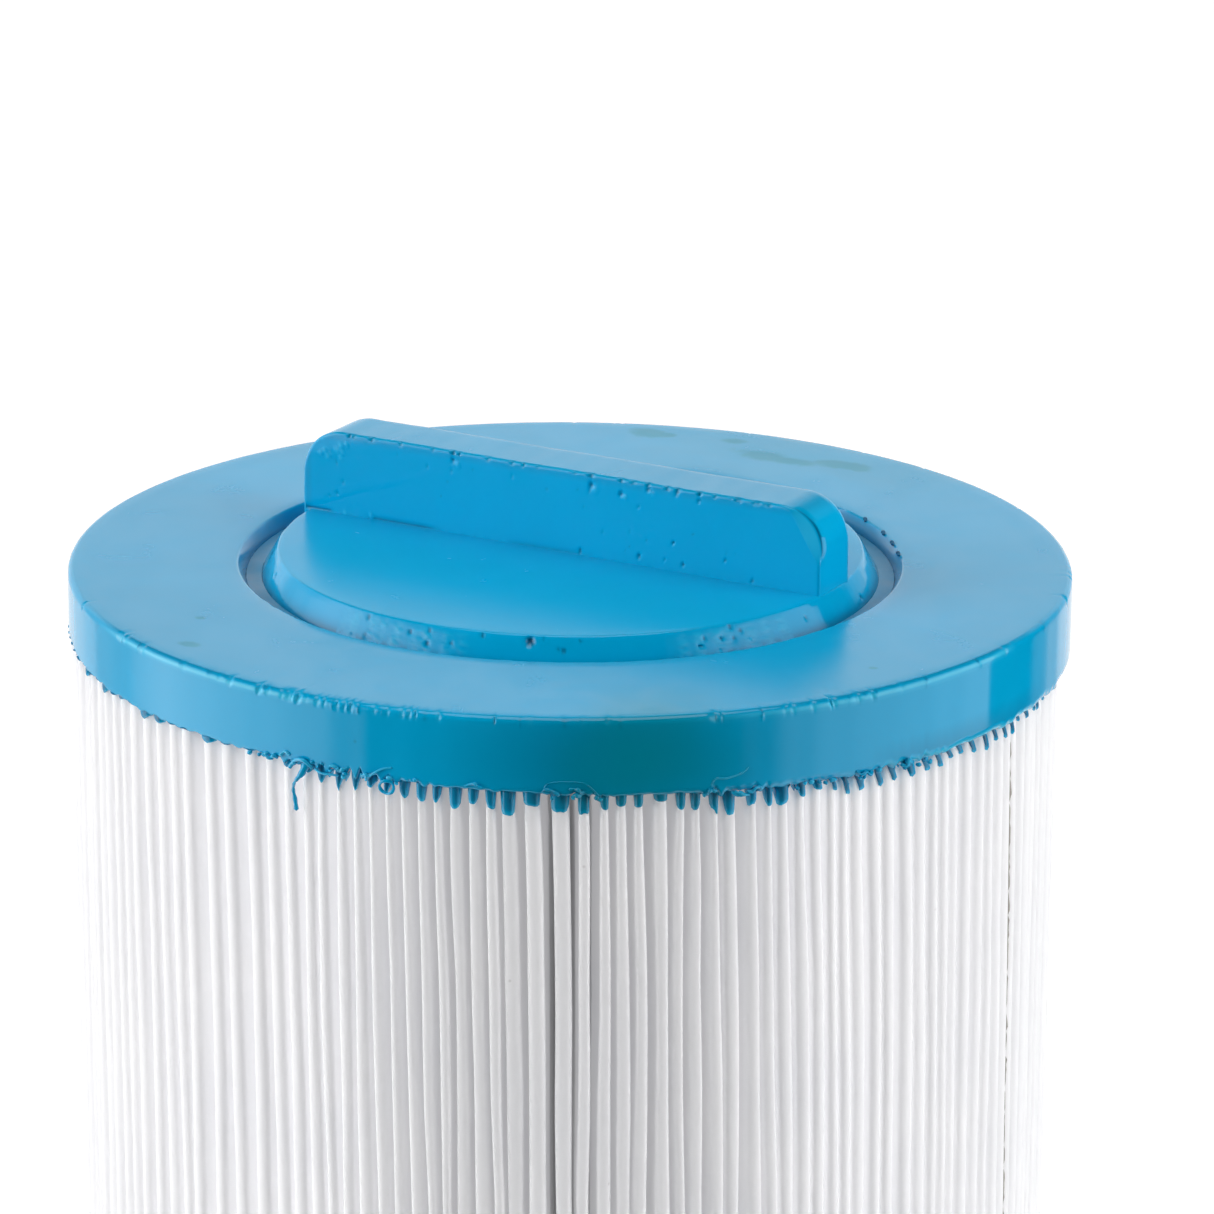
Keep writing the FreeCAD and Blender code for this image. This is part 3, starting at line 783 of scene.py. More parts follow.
def upper_skirt(theta, front):
    """Depth of the upper skirt's edge, where it is rough, nicked or lipped, and where a highlight
    is painted.
    """
    rough = sum(size * plateau(front, *stretch) for size, *stretch in ROUGH_STRETCHES)
    rough = rough + 0.35 * smoothstep(60, 90, np.abs(front))
    # the resin set on a slope, so the skirt is deeper on the right
    edge = 10.95 + 1.75 * np.cos(theta - TURN) - 0.55 * np.sin(theta - TURN)
    edge += wave_noise(theta, [(2, 6, 0.12), (20, 60, 0.10), (90, 260, 0.07)], seed=31)
    edge += rough * wave_noise(theta, [(120, 420, 0.30)], seed=32)
    return SimpleNamespace(
        edge=edge,
        rough=rough,
        nick=spikes(front, UPPER_NICKS, size=0.26, seed=33),
        # stretches where a highlight band is painted on the rounded top edge
        shine=plateau(front, -66, -56, -34, -24) + plateau(front, 6, 34, 55, 59),
        lip=plateau(front, 32, 42, 60, 68),
        quiet=smoothstep(-28, -34, front),  # few tabs on the far left
    )


def lower_skirt(theta, front):
    """The same for the lower cap, whose edge is plain."""
    none = np.zeros_like(theta)
    edge = 11.2 + 0.55 * np.sin(theta + 0.9)
    edge += wave_noise(theta, [(2, 6, 0.10), (20, 60, 0.08), (90, 260, 0.07)], seed=41)
    nick = spikes(front, LOWER_NICKS, size=0.20, seed=43)
    return SimpleNamespace(edge=edge, rough=none, nick=nick, shine=none, lip=none, quiet=none)


def shape_tabs(fold, across, front, tip_radius, tab_length, quiet, upper):
    """Resin tabs that run from the skirt's edge over the folds' tips."""
    rng = np.random.default_rng(57 if upper else 58)
    bow = rng.uniform(0.10, 0.34, PLEATS)[fold]
    power = rng.uniform(2.6, 5.5, PLEATS)[fold]
    centre = rng.uniform(-0.30, 0.30, PLEATS)[fold]
    length = tab_length[fold]
    if upper:
        kept = rng.random(PLEATS)[fold] < 0.30
        length = length * (1 - quiet * np.where(kept, 0.60, 0.94))
        length = length * (1 - 0.30 * smoothstep(38, 70, front))
    shade = rng.uniform(0.70, 1.05, PLEATS)[fold]
    pointed = smoothstep(-12, -26, front)  # narrow pointed tabs on the left
    on_tip = np.abs(across) < 1.05
    near_tip = np.abs(across) < 1.5
    # on the outer thirds the resin also wraps round the fold's flank that faces the camera
    place = np.where(near_tip, across, 0.0) * (1.0 + 0.50 * smoothstep(22, 38, front))
    wrap = pointed * (across > 1.05) * (across < 5)
    wrap = wrap + smoothstep(16, 30, front) * (across < -1.05)
    off_centre = np.abs(place - centre)
    round_end = 1 - bow * off_centre ** power
    pointed_end = 1 - (0.50 + 0.6 * bow) * off_centre
    shape = np.clip(round_end * (1 - pointed) + pointed_end * pointed, 0.12, 1.0)
    shape = np.where(on_tip, shape, np.where(near_tip, 0.62, 0.34))
    covered = np.where(on_tip, 1.0, (wrap > 0.5) & (1 - quiet > 0.5))
    radius = tip_radius + 0.30 - 0.20 * np.minimum(place ** 2, 1.0)
    radius = np.minimum(radius - 0.50 * np.minimum(place ** 6, 1.6), CAP_RADIUS + 0.08)
    # the shaded part of a tab lies away from the nearer lamp
    shade_side = np.where(front < 4, 1.0, -1.0)
    return SimpleNamespace(
        place=place,
        covered=covered,
        drip=covered * length * shape,
        radius=np.where(np.abs(across) == FLANK, tip_radius - 1.5, radius),
        shade=shade * np.clip(0.72 + 0.65 * place * shade_side, 0.25, 1.0),
        painted_highlight=np.clip((np.abs(place) - 0.60) / 0.34, 0, 1),
        slant=1.05 * smoothstep(20, 42, front) + 0.10 * smoothstep(-20, -45, front),
    )


def build_cap(name, upper):
    """Cap as closed rings: from the bore over the flat face, down the wall, back inside."""
    join_height, seed, reach = (TOP - 12.5, 51, 2.65) if upper else (13.0, 52, 1.6)
    tip_angle, tip_width, tip_radius, tab_length = folds_at(join_height, seed, reach)
    theta, fold, across = cap_columns(tip_angle, tip_width)
    front = degrees_from_front(theta)
    tip = tip_radius[fold]
    skirt = (upper_skirt if upper else lower_skirt)(theta, front)
    edge, lip, nick = skirt.edge, skirt.lip, skirt.nick
    tabs = shape_tabs(fold, across, front, tip, tab_length, skirt.quiet, upper)
    rings = []

    def ring(radius, depth, tone=0.0, slide=0.0):
        """Depth is from the flat face; slide moves the ring along the edge, in mm."""
        values = (radius, depth, tone, slide)
        rings.append([np.broadcast_to(value, theta.shape) for value in values])

    # bore and flat face
    if upper:
        bore = wave_noise(theta, [(4, 14, 0.06), (40, 90, 0.02)], seed=65)
        # the tones paint shade down the bore's wall and a highlight on its top edge
        ring(CAP_BORE, 2.1, 0.55)
        ring(49.75 + wave_noise(theta, [(4, 12, 0.03)], seed=63), 1.05, 0.35)
        ring(50.25 + wave_noise(theta, [(4, 12, 0.05)], seed=64), 0.22, 0.10)
        ring(50.42 + bore, 0.06, -0.25)
        ring(50.72 + bore, 0.0)
        for radius in (53.0, 60.0, 68.0, 73.2):
            ring(radius, 0.0)
    else:
        for radius, depth in LOWER_FACE:
            ring(radius, depth)

    # rounded edge and wall
    wall = CAP_RADIUS + wave_noise(theta, [(3, 9, 0.030), (30, 90, 0.010)],
                                   seed=61 if upper else 62)
    # tone paints a highlight band where the edge shines, a painted highlight in nicks dug in and
    # painted shade on nicks standing out
    for degrees, nick_share, highlight_tone, drop in FACE_EDGE:
        turn = math.radians(degrees)
        ring(
            wall - 1.0 + math.sin(turn) - 0.9 * nick_share * nick,
            1.0 - math.cos(turn) + 0.9 * nick_share * np.abs(nick) + drop,
            np.clip(-2.0 * nick * nick_share + skirt.shine * highlight_tone, -1.0, 0.7),
        )
    for share in (0.055, 0.08, 0.35, 0.7):
        ring(wall, 1.0 + 0.12 + share * (edge - 2.7))

    # rounded skirt edge: wide where the pack stands well inside it, tight where it is flush
    pack_radius = TIP_RADIUS - 0.15 + PACK[0] * np.cos(theta) + PACK[1] * np.sin(theta)
    rounding = np.clip(wall - pack_radius - 0.20, 0.25, 1.35)
    # a faint painted shade just above the lip
    ring(wall, edge - rounding - 0.22, 0.30 * lip)
    for degrees, lump_size, lip_tone, plain_tone in SKIRT_EDGE:
        turn = math.radians(degrees)
        lump = skirt.rough * lump_size * wave_noise(theta, [(150, 500, 1.0)], 34 + degrees)
        ring(
            wall - rounding * (1 - math.cos(turn)) + lump,
            edge - rounding * (1 - math.sin(turn)),
            lip_tone * lip + plain_tone * (1 - lip),
        )

    # tabs over the folds' tips, closed off between them in the valleys
    # open valleys between the tabs are painted with shade
    open_valley = 1 - tabs.covered
    valley = np.maximum(tip - 0.1, 74.0)

    def tab(radius, valley_radius, valley_rise, share, tone, slide):
        ring(
            tabs.covered * radius + open_valley * valley_radius,
            edge + tabs.covered * tabs.drip * share - open_valley * valley_rise,
            tabs.covered * tone + open_valley * 1.0,
            tabs.covered * slide * tabs.slant,
        )

    # tone paints shade high on the tabs, under the skirt, and a highlight along the tabs' rims and
    # lower ends
    shade, painted_highlight, radius = tabs.shade, tabs.painted_highlight, tabs.radius
    start = np.minimum(valley + 0.25, wall - rounding * 0.9)
    tab(radius, start, 0.0, 0.02, shade * (1 - 0.25 * painted_highlight), 0.0)
    tab(radius + 0.04, valley - 0.35, 0.10, 0.38, shade * (1 - 1.55 * painted_highlight), 0.4)
    tab(radius + 0.02, valley - 1.0, 0.35, 0.74, 0.75 * shade - 1.25 * painted_highlight, 0.8)
    tab(radius - 0.05, valley - 1.6, 0.75, 0.90, -0.25 - 0.5 * painted_highlight, 1.0)
    tab(radius - 0.22, valley - 2.0, 1.00, 1.00, -0.85, 1.0)
    tab(tip - 0.30 - 0.3 * np.abs(tabs.place), valley - 2.3, 1.20, 0.92, 0.2, 1.0)

    # hidden side, back to the bore
    # its tone paints shade under the skirt
    ring(tip - 2.7, edge - 1.5, 0.5)
    hidden = [(CAP_BORE, 10.6)] if upper else [(CAP_BORE, 10.4), (48.0, 11.0), (46.8, 11.5)]
    for radius, depth in hidden:
        ring(radius, depth)

    radius, depth, tone, slide = np.array(rings).transpose(1, 0, 2)
    turned = theta + slide / TAB_CIRCLE
    height = TOP - depth if upper else depth
    verts = np.stack([radius * np.cos(turned), radius * np.sin(turned), height], -1)
    faces = grid_faces(len(rings), len(theta), close_rows=True).tolist()
    cap = make_object(name, verts.reshape(-1, 3), faces, RESIN, sharp=50, tone=tone.ravel())
    return cap, front, edge


top_cap, edge_degrees, edge_depths = build_cap("top_cap_casting", upper=True)
declare(top_cap, replaces="top_end_cap")
bottom_cap = build_cap("bottom_cap_casting", upper=False)[0]
declare(bottom_cap, replaces="bottom_end_cap")

# ------------------------------------------------------------------ flash on the upper cap
# points of the strands: degrees from the front, depth, radius
LONG_CURL = (
    (-29.3, 10.2, 76.0), (-29.6, 11.4, 76.5), (-30.2, 12.5, 76.7), (-30.75, 13.4, 76.3),
    (-31.05, 14.6, 75.9), (-30.85, 15.9, 75.9), (-30.55, 17.3, 76.2),
)
CURL_ROOT = ((-28.6, 10.6, 76.1), (-29.5, 9.6, 76.5), (-30.6, 9.9, 76.2), (-31.4, 11.2, 76.1))
SHORT_STRAND = ((-22.2, 11.2, 76.0), (-21.3, 10.0, 76.35), (-20.2, 9.1, 76.15),
                (-19.2, 8.8, 76.0))
LEDGE = ((-28.2, 10.7, 76.1), (-27.2, 11.0, 76.5), (-26.2, 11.0, 76.4), (-25.4, 11.1, 76.1))
FRONT_ARC = (
    (-2.8, 10.9, 75.93), (-2.2, 9.6, 75.95), (-0.4, 9.3, 75.95), (1.6, 9.5, 75.95),
    (2.6, 10.5, 75.95), (3.4, 11.8, 75.93),
)
RIGHT_ARC = ((15.3, 10.6, 75.95), (15.8, 9.6, 76.0), (17.0, 9.7, 76.05), (18.6, 9.2, 76.0),
             (19.4, 8.4, 75.95))
# folded flakes: from and to in degrees from the front, how many
FLAKES = ((-25.6, -22.4, 3), (-34.5, -31.8, 3), (-1.5, 4.0, 3), (14.5, 21.5, 5),
          (33.0, 41.0, 4), (24.0, 30.0, 1), (-14.0, -9.0, 1))
# crumbs: x and y of their direction from the axis, radius
CRUMBS = ((42.3, 27.2, 50.0), (35.1, 35.5, 50.1), (29.6, 40.4, 50.2), (38.7, 31.6, 50.0))


def edge_depth(degrees):
    """Depth of the upper skirt's edge at an angle from the front."""
    distance = np.abs((edge_degrees - degrees + 180.0) % 360.0 - 180.0)
    return float(edge_depths[np.argmin(distance)])


def build_flash():
    """Squeezed-out resin: a hanging curl, loops, flakes, lumps, arcs and crumbs."""
    rng = np.random.default_rng(90)
    verts, faces, tones = [], [], []

    def add(path, radius, tone, flat=1.0, sides=8):
        points, quads = tube(path, np.broadcast_to(radius, len(path)), sides, flat)
        base = sum(len(part) for part in verts)
        verts.append(points)
        faces.extend([[i + base for i in quad] for quad in quads])
        tones.append(np.full(len(points), tone))

    def strand(points, count, radius, tone, flat=1.0, sides=8):
        path = smooth_path([on_wall(*point) for point in points], count)
        add(path, radius, tone, flat, sides)

    along = np.linspace(0, 1, 60)
    curl_radius = 0.62 - 0.40 * smoothstep(0.05, 0.45, along)
    curl_radius = curl_radius + 0.12 * smoothstep(0.6, 0.95, along) + 0.03 * np.sin(along * 40)
    strand(LONG_CURL, 60, curl_radius, tone=0.15)
    strand(CURL_ROOT, 30, 0.30, tone=-0.3)
    # a ring-like curl
    turns = np.linspace(0, FULL_TURN * 1.05, 44)
    loop = [
        on_wall(-19.7 + 0.80 * math.cos(turn), 11.7 + 0.95 * math.sin(turn),
                76.25 + 0.12 * math.sin(2 * turn))
        for turn in turns
    ]
    add(np.array(loop), 0.24 + 0.05 * np.sin(3 * turns), tone=0.05)
    strand(SHORT_STRAND, 26, 0.17, tone=-0.5)
    strand(LEDGE, 26, 0.28, tone=-0.35, flat=0.6)

    for start, end, count in FLAKES:
        for _ in range(count):
            degrees = rng.uniform(start, end)
            depth = edge_depth(degrees) - rng.uniform(-0.2, 0.8)
            drift = rng.choice([-1.0, 1.0])
            points = [(degrees, depth, 75.95)]
            for _ in range(rng.integers(2, 5)):
                degrees += drift * rng.uniform(0.15, 0.65)
                depth += rng.uniform(-0.55, 0.50)
                lowest = edge_depth(degrees) + 0.7
                points.append((degrees, min(depth, lowest), rng.uniform(75.95, 76.35)))
            samples = 10 + 5 * len(points)
            ripple = np.linspace(0, rng.uniform(5, 14), samples) + rng.uniform(0, 6)
            swell = 0.75 + 0.35 * np.sin(np.linspace(0.3, 2.9, samples))
            swell = swell + 0.22 * np.sin(ripple)
            strand(points, samples, rng.uniform(0.26, 0.44) * swell,
                   tone=rng.uniform(-0.6, 0.15), flat=rng.uniform(0.5, 0.8), sides=9)

    # small lumps of resin along the edge
    lump_profile = np.array([0.5, 0.8, 1.0, 1.1, 1.1, 1.0, 0.95, 0.8, 0.5])
    for _ in range(34):
        places = [rng.uniform(-37, -22), rng.uniform(12, 46), rng.uniform(-22, 12)]
        degrees = rng.choice(places, p=[0.4, 0.35, 0.25])
        depth = edge_depth(degrees) - rng.uniform(-0.25, 0.45)
        width = rng.uniform(0.25, 0.7)
        points = [
            (degrees - width / 2, depth, 75.9),
            (degrees, depth + rng.uniform(-0.2, 0.3), 76.15),
            (degrees + width / 2, depth + rng.uniform(-0.3, 0.2), 75.9),
        ]
        strand(points, 9, rng.uniform(0.20, 0.38) * lump_profile,
               tone=rng.uniform(-0.6, 0.55), flat=rng.uniform(0.7, 1.0))

    strand(FRONT_ARC, 60, 0.12, tone=-0.12)
    strand(RIGHT_ARC, 50, 0.16, tone=-0.5)
    # crumbs where the plug's groove meets the ring
    for x, y, radius in CRUMBS:
        theta = math.atan2(y, x)
        start = np.array([radius * math.cos(theta), radius * math.sin(theta), TOP - 0.15])
        end = start + np.array([-0.5, 0.4, 0.25])
        middle = 0.5 * (start + end) + np.array([0.1, 0.15, 0.2])
        add(smooth_path([start, middle, end], 12), 0.26, tone=0.85)
    return make_object("top_cap_flash", np.concatenate(verts), faces, RESIN,
                       tone=np.concatenate(tones))


declare(build_flash())


# ------------------------------------------------------------------ handle plug's disc
def dents(x, y, marks):
    """Depth and tone at points (x, y) of marks given as (x, y, radius, depth, tone)."""
    depth, tone = np.zeros_like(x), np.zeros_like(x)
    for mark_x, mark_y, radius, mark_depth, mark_tone in marks:
        squared = ((x - mark_x) ** 2 + (y - mark_y) ** 2) / (radius * radius)
        share = np.exp(-(squared ** 1.5))
        depth += mark_depth * share
        tone = np.where(np.abs(mark_tone * share) > np.abs(tone), mark_tone * share, tone)
    return depth, tone


DISC_COLUMNS = 900
DISC_TOP = 2.0  # height of the disc above the cap's top face
DISC_UNDERSIDE = -11.5
PIT_CIRCLE = 45.5  # radius at which the pits' angles become distances
FACE, LIP, CONE = range(3)  # parts of the disc's profile
# pits on the lip and cone: degrees from the front, height, radius, depth, tone (painted shade in
# the pit)
DISC_PITS = (
    (-7.4, 1.05, 0.62, 0.62, 1.0), (-16.5, 1.45, 0.30, 0.25, 0.9),
    (31.4, 1.50, 0.30, 0.25, 0.9), (33.4, 0.8, 0.28, 0.22, 0.8),
    (29.0, 0.2, 0.28, 0.20, 0.7), (-31.0, 0.6, 0.3, 0.2, 0.8),
    (-27.0, -0.5, 0.35, 0.22, 0.8), (24.5, -0.3, 0.25, 0.2, 0.8),
    (2.0, 1.3, 0.22, 0.15, 0.6), (-41.0, 1.2, 0.3, 0.2, 0.7),
)


def disc_profile():
    """Radius, height above the cap's top face and part, from the top's middle round below."""
    profile = [(radius, DISC_TOP, FACE) for radius in (4.0, 12.0, 20.0, 28.0, 35.0, 39.0, 41.5)]
    profile.append((43.0, 1.985, FACE))
    for degrees in (0.0, 22.0, 45.0, 68.0):
        turn = math.radians(degrees)
        profile.append((44.5 - 0.42 + 0.42 * math.sin(turn),
                        1.96 - 0.40 + 0.40 * math.cos(turn), LIP))
    for height in np.arange(1.30, -1.95, -0.27):
        profile.append((44.85 + (1.2 - height) * 0.586, height, CONE))
    profile.append((46.78, -2.1, CONE))
    for radius, height in ((46.8, -6.0), (46.8, DISC_UNDERSIDE), (30.0, DISC_UNDERSIDE),
                           (4.0, DISC_UNDERSIDE)):
        profile.append((radius, height, FACE))
    return np.array(profile).T


def build_plug_disc():
    theta = np.linspace(0, FULL_TURN, DISC_COLUMNS, endpoint=False)
    front = degrees_from_front(theta)
    profile_radius, profile_height, part = disc_profile()
    radius = np.repeat(profile_radius[:, None], DISC_COLUMNS, axis=1)
    height = np.repeat(profile_height[:, None], DISC_COLUMNS, axis=1)
    cone = (part == CONE)[:, None]
    ring = cone | (part == LIP)[:, None]
    bands = [(2, 5, 0.05), (12, 40, 0.022), (90, 200, 0.003)]
    radius += ring * wave_noise(theta, bands, seed=71)[None]

    # scuffed, half-wetted skin on two stretches of the cone
    rng = np.random.default_rng(72)
    grain = rng.normal(0, 1, radius.shape)
    for _ in range(2):
        grain = (grain + np.roll(grain, 1, 1) + np.roll(grain, -1, 1)) / 3
    zone = plateau(front, -50, -44, -24, -16) + plateau(front, 17, 24, 40, 47)
    blotch = np.clip(0.55 + wave_noise(theta, [(40, 120, 0.5)], seed=73)[None], 0.1, 1.3)
    patch = zone[None] * cone * blotch
    radius += 0.11 * grain * patch
    tone = np.where(cone, -0.50 * patch * np.clip(0.4 + 0.5 * grain, 0, 1), 0.0)

    random_pits = random_rows(rng, 22, (-180, 180), (-1.2, 1.6), (0.18, 0.34), (0.1, 0.24),
                              (0.3, 0.8))
    marks = [
        (math.radians(degrees) * PIT_CIRCLE, *rest)
        for degrees, *rest in (*DISC_PITS, *random_pits)
    ]
    arc = np.broadcast_to((np.radians(front) * PIT_CIRCLE)[None], radius.shape)
    pit_depth, pit_tone = dents(arc, height, marks)
    radius -= pit_depth * ring
    tone = np.where(ring & (np.abs(pit_tone) > 0.05), pit_tone, tone)
    # painted shade low on the cone, where it stands down in the groove
    low_cone = cone * smoothstep(-0.9, -2.1, height)
    tone = np.where(np.abs(tone) < 0.05, 0.45 * low_cone, tone)

    verts = np.stack([radius * np.cos(theta), radius * np.sin(theta), TOP + height], -1)
    verts = verts.reshape(-1, 3)
    hubs = [[0, 0, TOP + DISC_TOP], [0, 0, TOP + DISC_UNDERSIDE]]
    rows = len(radius)
    faces = grid_faces(rows, DISC_COLUMNS).tolist()
    faces += end_fans(len(verts), len(verts) + 1, rows, DISC_COLUMNS)
    return make_object("handle_plug_disc", np.concatenate([verts, hubs]), faces, RESIN,
                       sharp=40, tone=np.concatenate([tone.ravel(), [0.0, 0.0]]))


# ------------------------------------------------------------------ handle plug's grab bar
# faces and ends of the bar; heights are above the cap's top face
BAR_FRONT, BAR_BACK = -3.45, 7.05
BAR_LEFT, BAR_RIGHT = -45.4, 44.1
BAR_TOP, BAR_LOW = 15.0, 0.0
BAR_CORNER = 7.0
# nicks along the front upper edge: x, half width, size
BAR_NICKS = (
    (-18.7, 0.35, 0.42), (-17.6, 0.25, 0.3), (-33.0, 0.3, 0.2), (5.4, 0.4, 0.30),
    (10.5, 0.35, 0.25), (15.1, 0.3, 0.30), (20.0, 0.3, 0.3), (23.8, 0.35, 0.32),
    (26.5, 0.25, 0.2),
)
# pits in the front face, negative depth stands out: x, z, radius, depth, tone; the tone is painted
# shade in a pit and a painted highlight where negative
BAR_PITS = (
    (5.4, 13.3, 0.42, 0.30, 0.7), (10.5, 12.7, 0.40, 0.26, 0.6), (15.1, 14.1, 0.35, 0.22, 0.6),
    (20.0, 14.2, 0.30, 0.2, 0.5), (13.7, 3.44, 0.30, 0.25, 0.9), (19.5, 6.4, 0.26, 0.22, 0.8),
    (21.2, 3.3, 0.28, 0.22, 0.9), (28.3, 5.1, 0.24, 0.18, 0.7), (3.6, 2.7, 0.30, 0.2, 0.8),
    (32.9, 2.6, 0.26, 0.2, 0.7), (14.9, 6.0, 0.16, 0.12, 0.5), (23.8, 13.6, 0.3, 0.2, 0.6),
    (-18.7, 13.6, 0.32, 0.25, 0.7), (-17.8, 12.9, 0.4, -0.12, -0.5),
)
# blisters on the front face: x, z
BAR_BLISTERS = (
    (-42.3, 11.2), (-41.5, 11.7), (-40.9, 10.9), (-38.6, 12.9), (-38.4, 11.9), (-38.7, 10.9),
    (-39.3, 12.1), (-37.6, 13.2), (6.2, 12.6), (11.3, 12.2), (-37.9, 2.3), (-33.2, 2.45),
    (16.0, 13.4),
)


def bar_outline():
    """Outline in X-Z from the low left end over the top to the low right end."""
    side_steps, corner_steps, top_steps = 26, 40, 330
    side_height = BAR_TOP - BAR_CORNER - BAR_LOW
    straight = BAR_RIGHT - BAR_LEFT - 2 * BAR_CORNER

    def corner(centre_x, start):
        for i in range(corner_steps + 1):
            turn = start - math.pi / 2 * i / corner_steps
            points.append((centre_x + BAR_CORNER * math.cos(turn),
                           BAR_TOP - BAR_CORNER + BAR_CORNER * math.sin(turn)))

    points = [(BAR_LEFT, BAR_LOW + side_height * i / side_steps) for i in range(side_steps)]
    corner(BAR_LEFT + BAR_CORNER, math.pi)
    for i in range(1, top_steps):
        points.append((BAR_LEFT + BAR_CORNER + straight * i / top_steps, BAR_TOP))
    corner(BAR_RIGHT - BAR_CORNER, math.pi / 2)
    for i in range(side_steps):
        height = BAR_TOP - BAR_CORNER - side_height * (i + 1) / side_steps
        points.append((BAR_RIGHT, height))
    return np.array(points)


def mark_bar_face(points, tones, rng):
    """Pits, blisters and the crease along the joint, on the front face's strips, with painted
    shade in the pits and crease and a painted highlight on the blisters.
    """
    x, z = points[:, :, 0], points[:, :, 2]
    marks = list(BAR_PITS)
    for blister_x, blister_z in BAR_BLISTERS:
        radius = rng.uniform(0.30, 0.48)
        depth = -rng.uniform(0.08, 0.16)
        # negative tone: a painted highlight on the raised blister
        marks.append((blister_x, blister_z, radius, depth, rng.uniform(-0.75, -0.4)))
    marks += random_rows(rng, 24, (-42, 42), (2.6, 13.5), (0.14, 0.26), (0.05, 0.14),
                         (0.2, 0.5))
    depth, tone = dents(x, z, marks)
    points[:, :, 1] += depth
    tones[:] = np.where(np.abs(tone) > 0.05, tone, tones)
    stretches = plateau(x, -45.5, -44.5, -41, -39.5) + plateau(x, -35, -32.5, -24, -20)
    stretches = stretches + 0.5 * plateau(x, -10, -7, 2, 6)
    # painted shade along the crease
    crease = np.exp(-((z - 2.25) / 0.22) ** 2) * stretches
    points[:, :, 1] += 0.16 * crease
    tones += 0.75 * crease


def build_bar():
    """Strips of points along the outline, from the front face over the edge to the back."""
    outline = bar_outline()
    count = len(outline)
    tangent = np.gradient(outline, axis=0)
    tangent /= np.linalg.norm(tangent, axis=1)[:, None]
    normal = np.stack([-tangent[:, 1], tangent[:, 0]], -1)  # points out of the outline
    steps = np.linalg.norm(np.diff(outline, axis=0), axis=1)
    along = np.concatenate([[0], np.cumsum(steps)])
    uneven = 0.05 * np.sin(along * 0.21 + 1.0) + 0.035 * np.sin(along * 0.47)
    uneven = uneven + 0.02 * np.sin(along * 1.3 + 2)
    base_x = np.linspace(outline[0, 0], outline[-1, 0], count)
    base = np.stack([base_x, np.full(count, BAR_LOW)], -1)

    rng = np.random.default_rng(75)
    random_nicks = random_rows(rng, 26, (-38, 36), (0.18, 0.40), (0.06, 0.22))
    nick = np.zeros(count)
    on_top = outline[:, 1] > BAR_TOP - 1.0
    for x, width, size in (*BAR_NICKS, *random_nicks):
        nick += size * np.exp(-(((outline[:, 0] - x) / width) ** 2)) * on_top

    def nearest(x, z):
        return along[np.argmin(np.abs(outline[:, 0] - x) + np.abs(outline[:, 1] - z))]

    # a sliver cut off the front right corner, crescent shaped
    cut_start, cut_end = nearest(39.4, 14.8), nearest(BAR_RIGHT, 7.2)
    cut = np.sin(math.pi * np.clip((along - cut_start) / (cut_end - cut_start), 0, 1)) ** 0.7
    strips, tones = [], []

    def strip(inset, y, to_base=0.0, tone=0.0):
        points = outline - normal * (inset - uneven * 0.6)[:, None]
        points[:, 1] = np.maximum(points[:, 1], BAR_LOW)
        points = points * (1 - to_base) + base * to_base
        strips.append(np.stack([points[:, 0], np.broadcast_to(y, count), points[:, 1]], -1))
        tones.append(np.broadcast_to(tone, count).astype(float))

    inset_front = 0.42 + 1.55 * cut
    deep_front = 0.42 + 0.75 * cut
    back_rounding = 1.5
    inset_back = np.full(count, back_rounding)
    flush = np.zeros(count)

    # front face
    for to_base in (*np.linspace(1.0, 0.04, 40), 0.012):
        strip(inset_front, BAR_FRONT, to_base)
    face_strips = len(strips)
    # front edge, round or cut flat: degrees, share of the nicks inward and backward
    front_edge = ((0, 1.0, 0.15), (22, 0.9, 0.4), (45, 0.7, 0.6), (68, 0.4, 0.4),
                  (90, 0.15, 0.15))
    for i, (degrees, nick_in, nick_back) in enumerate(front_edge):
        turn = math.radians(degrees)
        share_in = (1 - math.sin(turn)) * (1 - cut) + (1 - i / 4) * cut
        share_back = (1 - math.cos(turn)) * (1 - cut) + i / 4 * cut
        # tone paints shade in the nicks and, along the cut, a highlight on its face and a dark
        # line of shade at its back edge
        if i < 4:
            tone = np.clip(1.6 * nick - 0.75 * cut, -1, 1)
        else:
            tone = np.clip(0.95 * cut + 0.8 * nick, 0, 1)
        strip(inset_front * share_in + nick * nick_in,
              BAR_FRONT + deep_front * share_back + nick * nick_back, tone=tone)
    # top and ends
    # painted shade carries the cut's dark line on
    strip(0.30 * cut, BAR_FRONT + deep_front + 0.22, tone=1.0 * cut)
    strip(flush, BAR_FRONT + deep_front + 0.45, tone=0.15 * cut)
    depth = BAR_BACK - BAR_FRONT - deep_front - 0.45 - back_rounding
    for share in (0.15, 0.4, 0.65, 0.9):
        strip(flush, BAR_FRONT + deep_front + 0.45 + depth * share)
    # back edge and back face
    for degrees in (0, 18, 36, 54, 72, 90):
        turn = math.radians(degrees)
        strip(inset_back * (1 - math.cos(turn)),
              BAR_BACK - back_rounding * (1 - math.sin(turn)))
    for to_base in (0.04, 0.12, 0.25, 0.40, 0.55, 0.70, 0.85, 1.0):
        strip(inset_back, BAR_BACK, to_base)

    points, tone = np.stack(strips), np.stack(tones)
    mark_bar_face(points[:face_strips], tone[:face_strips], rng)
    rows = len(points)
    faces = grid_faces(rows, count, close_columns=False).tolist()
    # underside and the two low ends, inside the disc
    last = (rows - 1) * count
    for j in range(count - 1):
        faces.append([j + 1, j, last + j, last + j + 1])
    faces.append([i * count for i in range(rows)])
    faces.append([i * count + count - 1 for i in range(rows)][::-1])
    return make_object("grab_bar", points.reshape(-1, 3) + np.array([0, 0, TOP]), faces,
                       RESIN, sharp=50, tone=tone.ravel(), weld=True)


declare(build_plug_disc(), replaces="handle_plug")
declare(build_bar(), replaces="handle_plug")

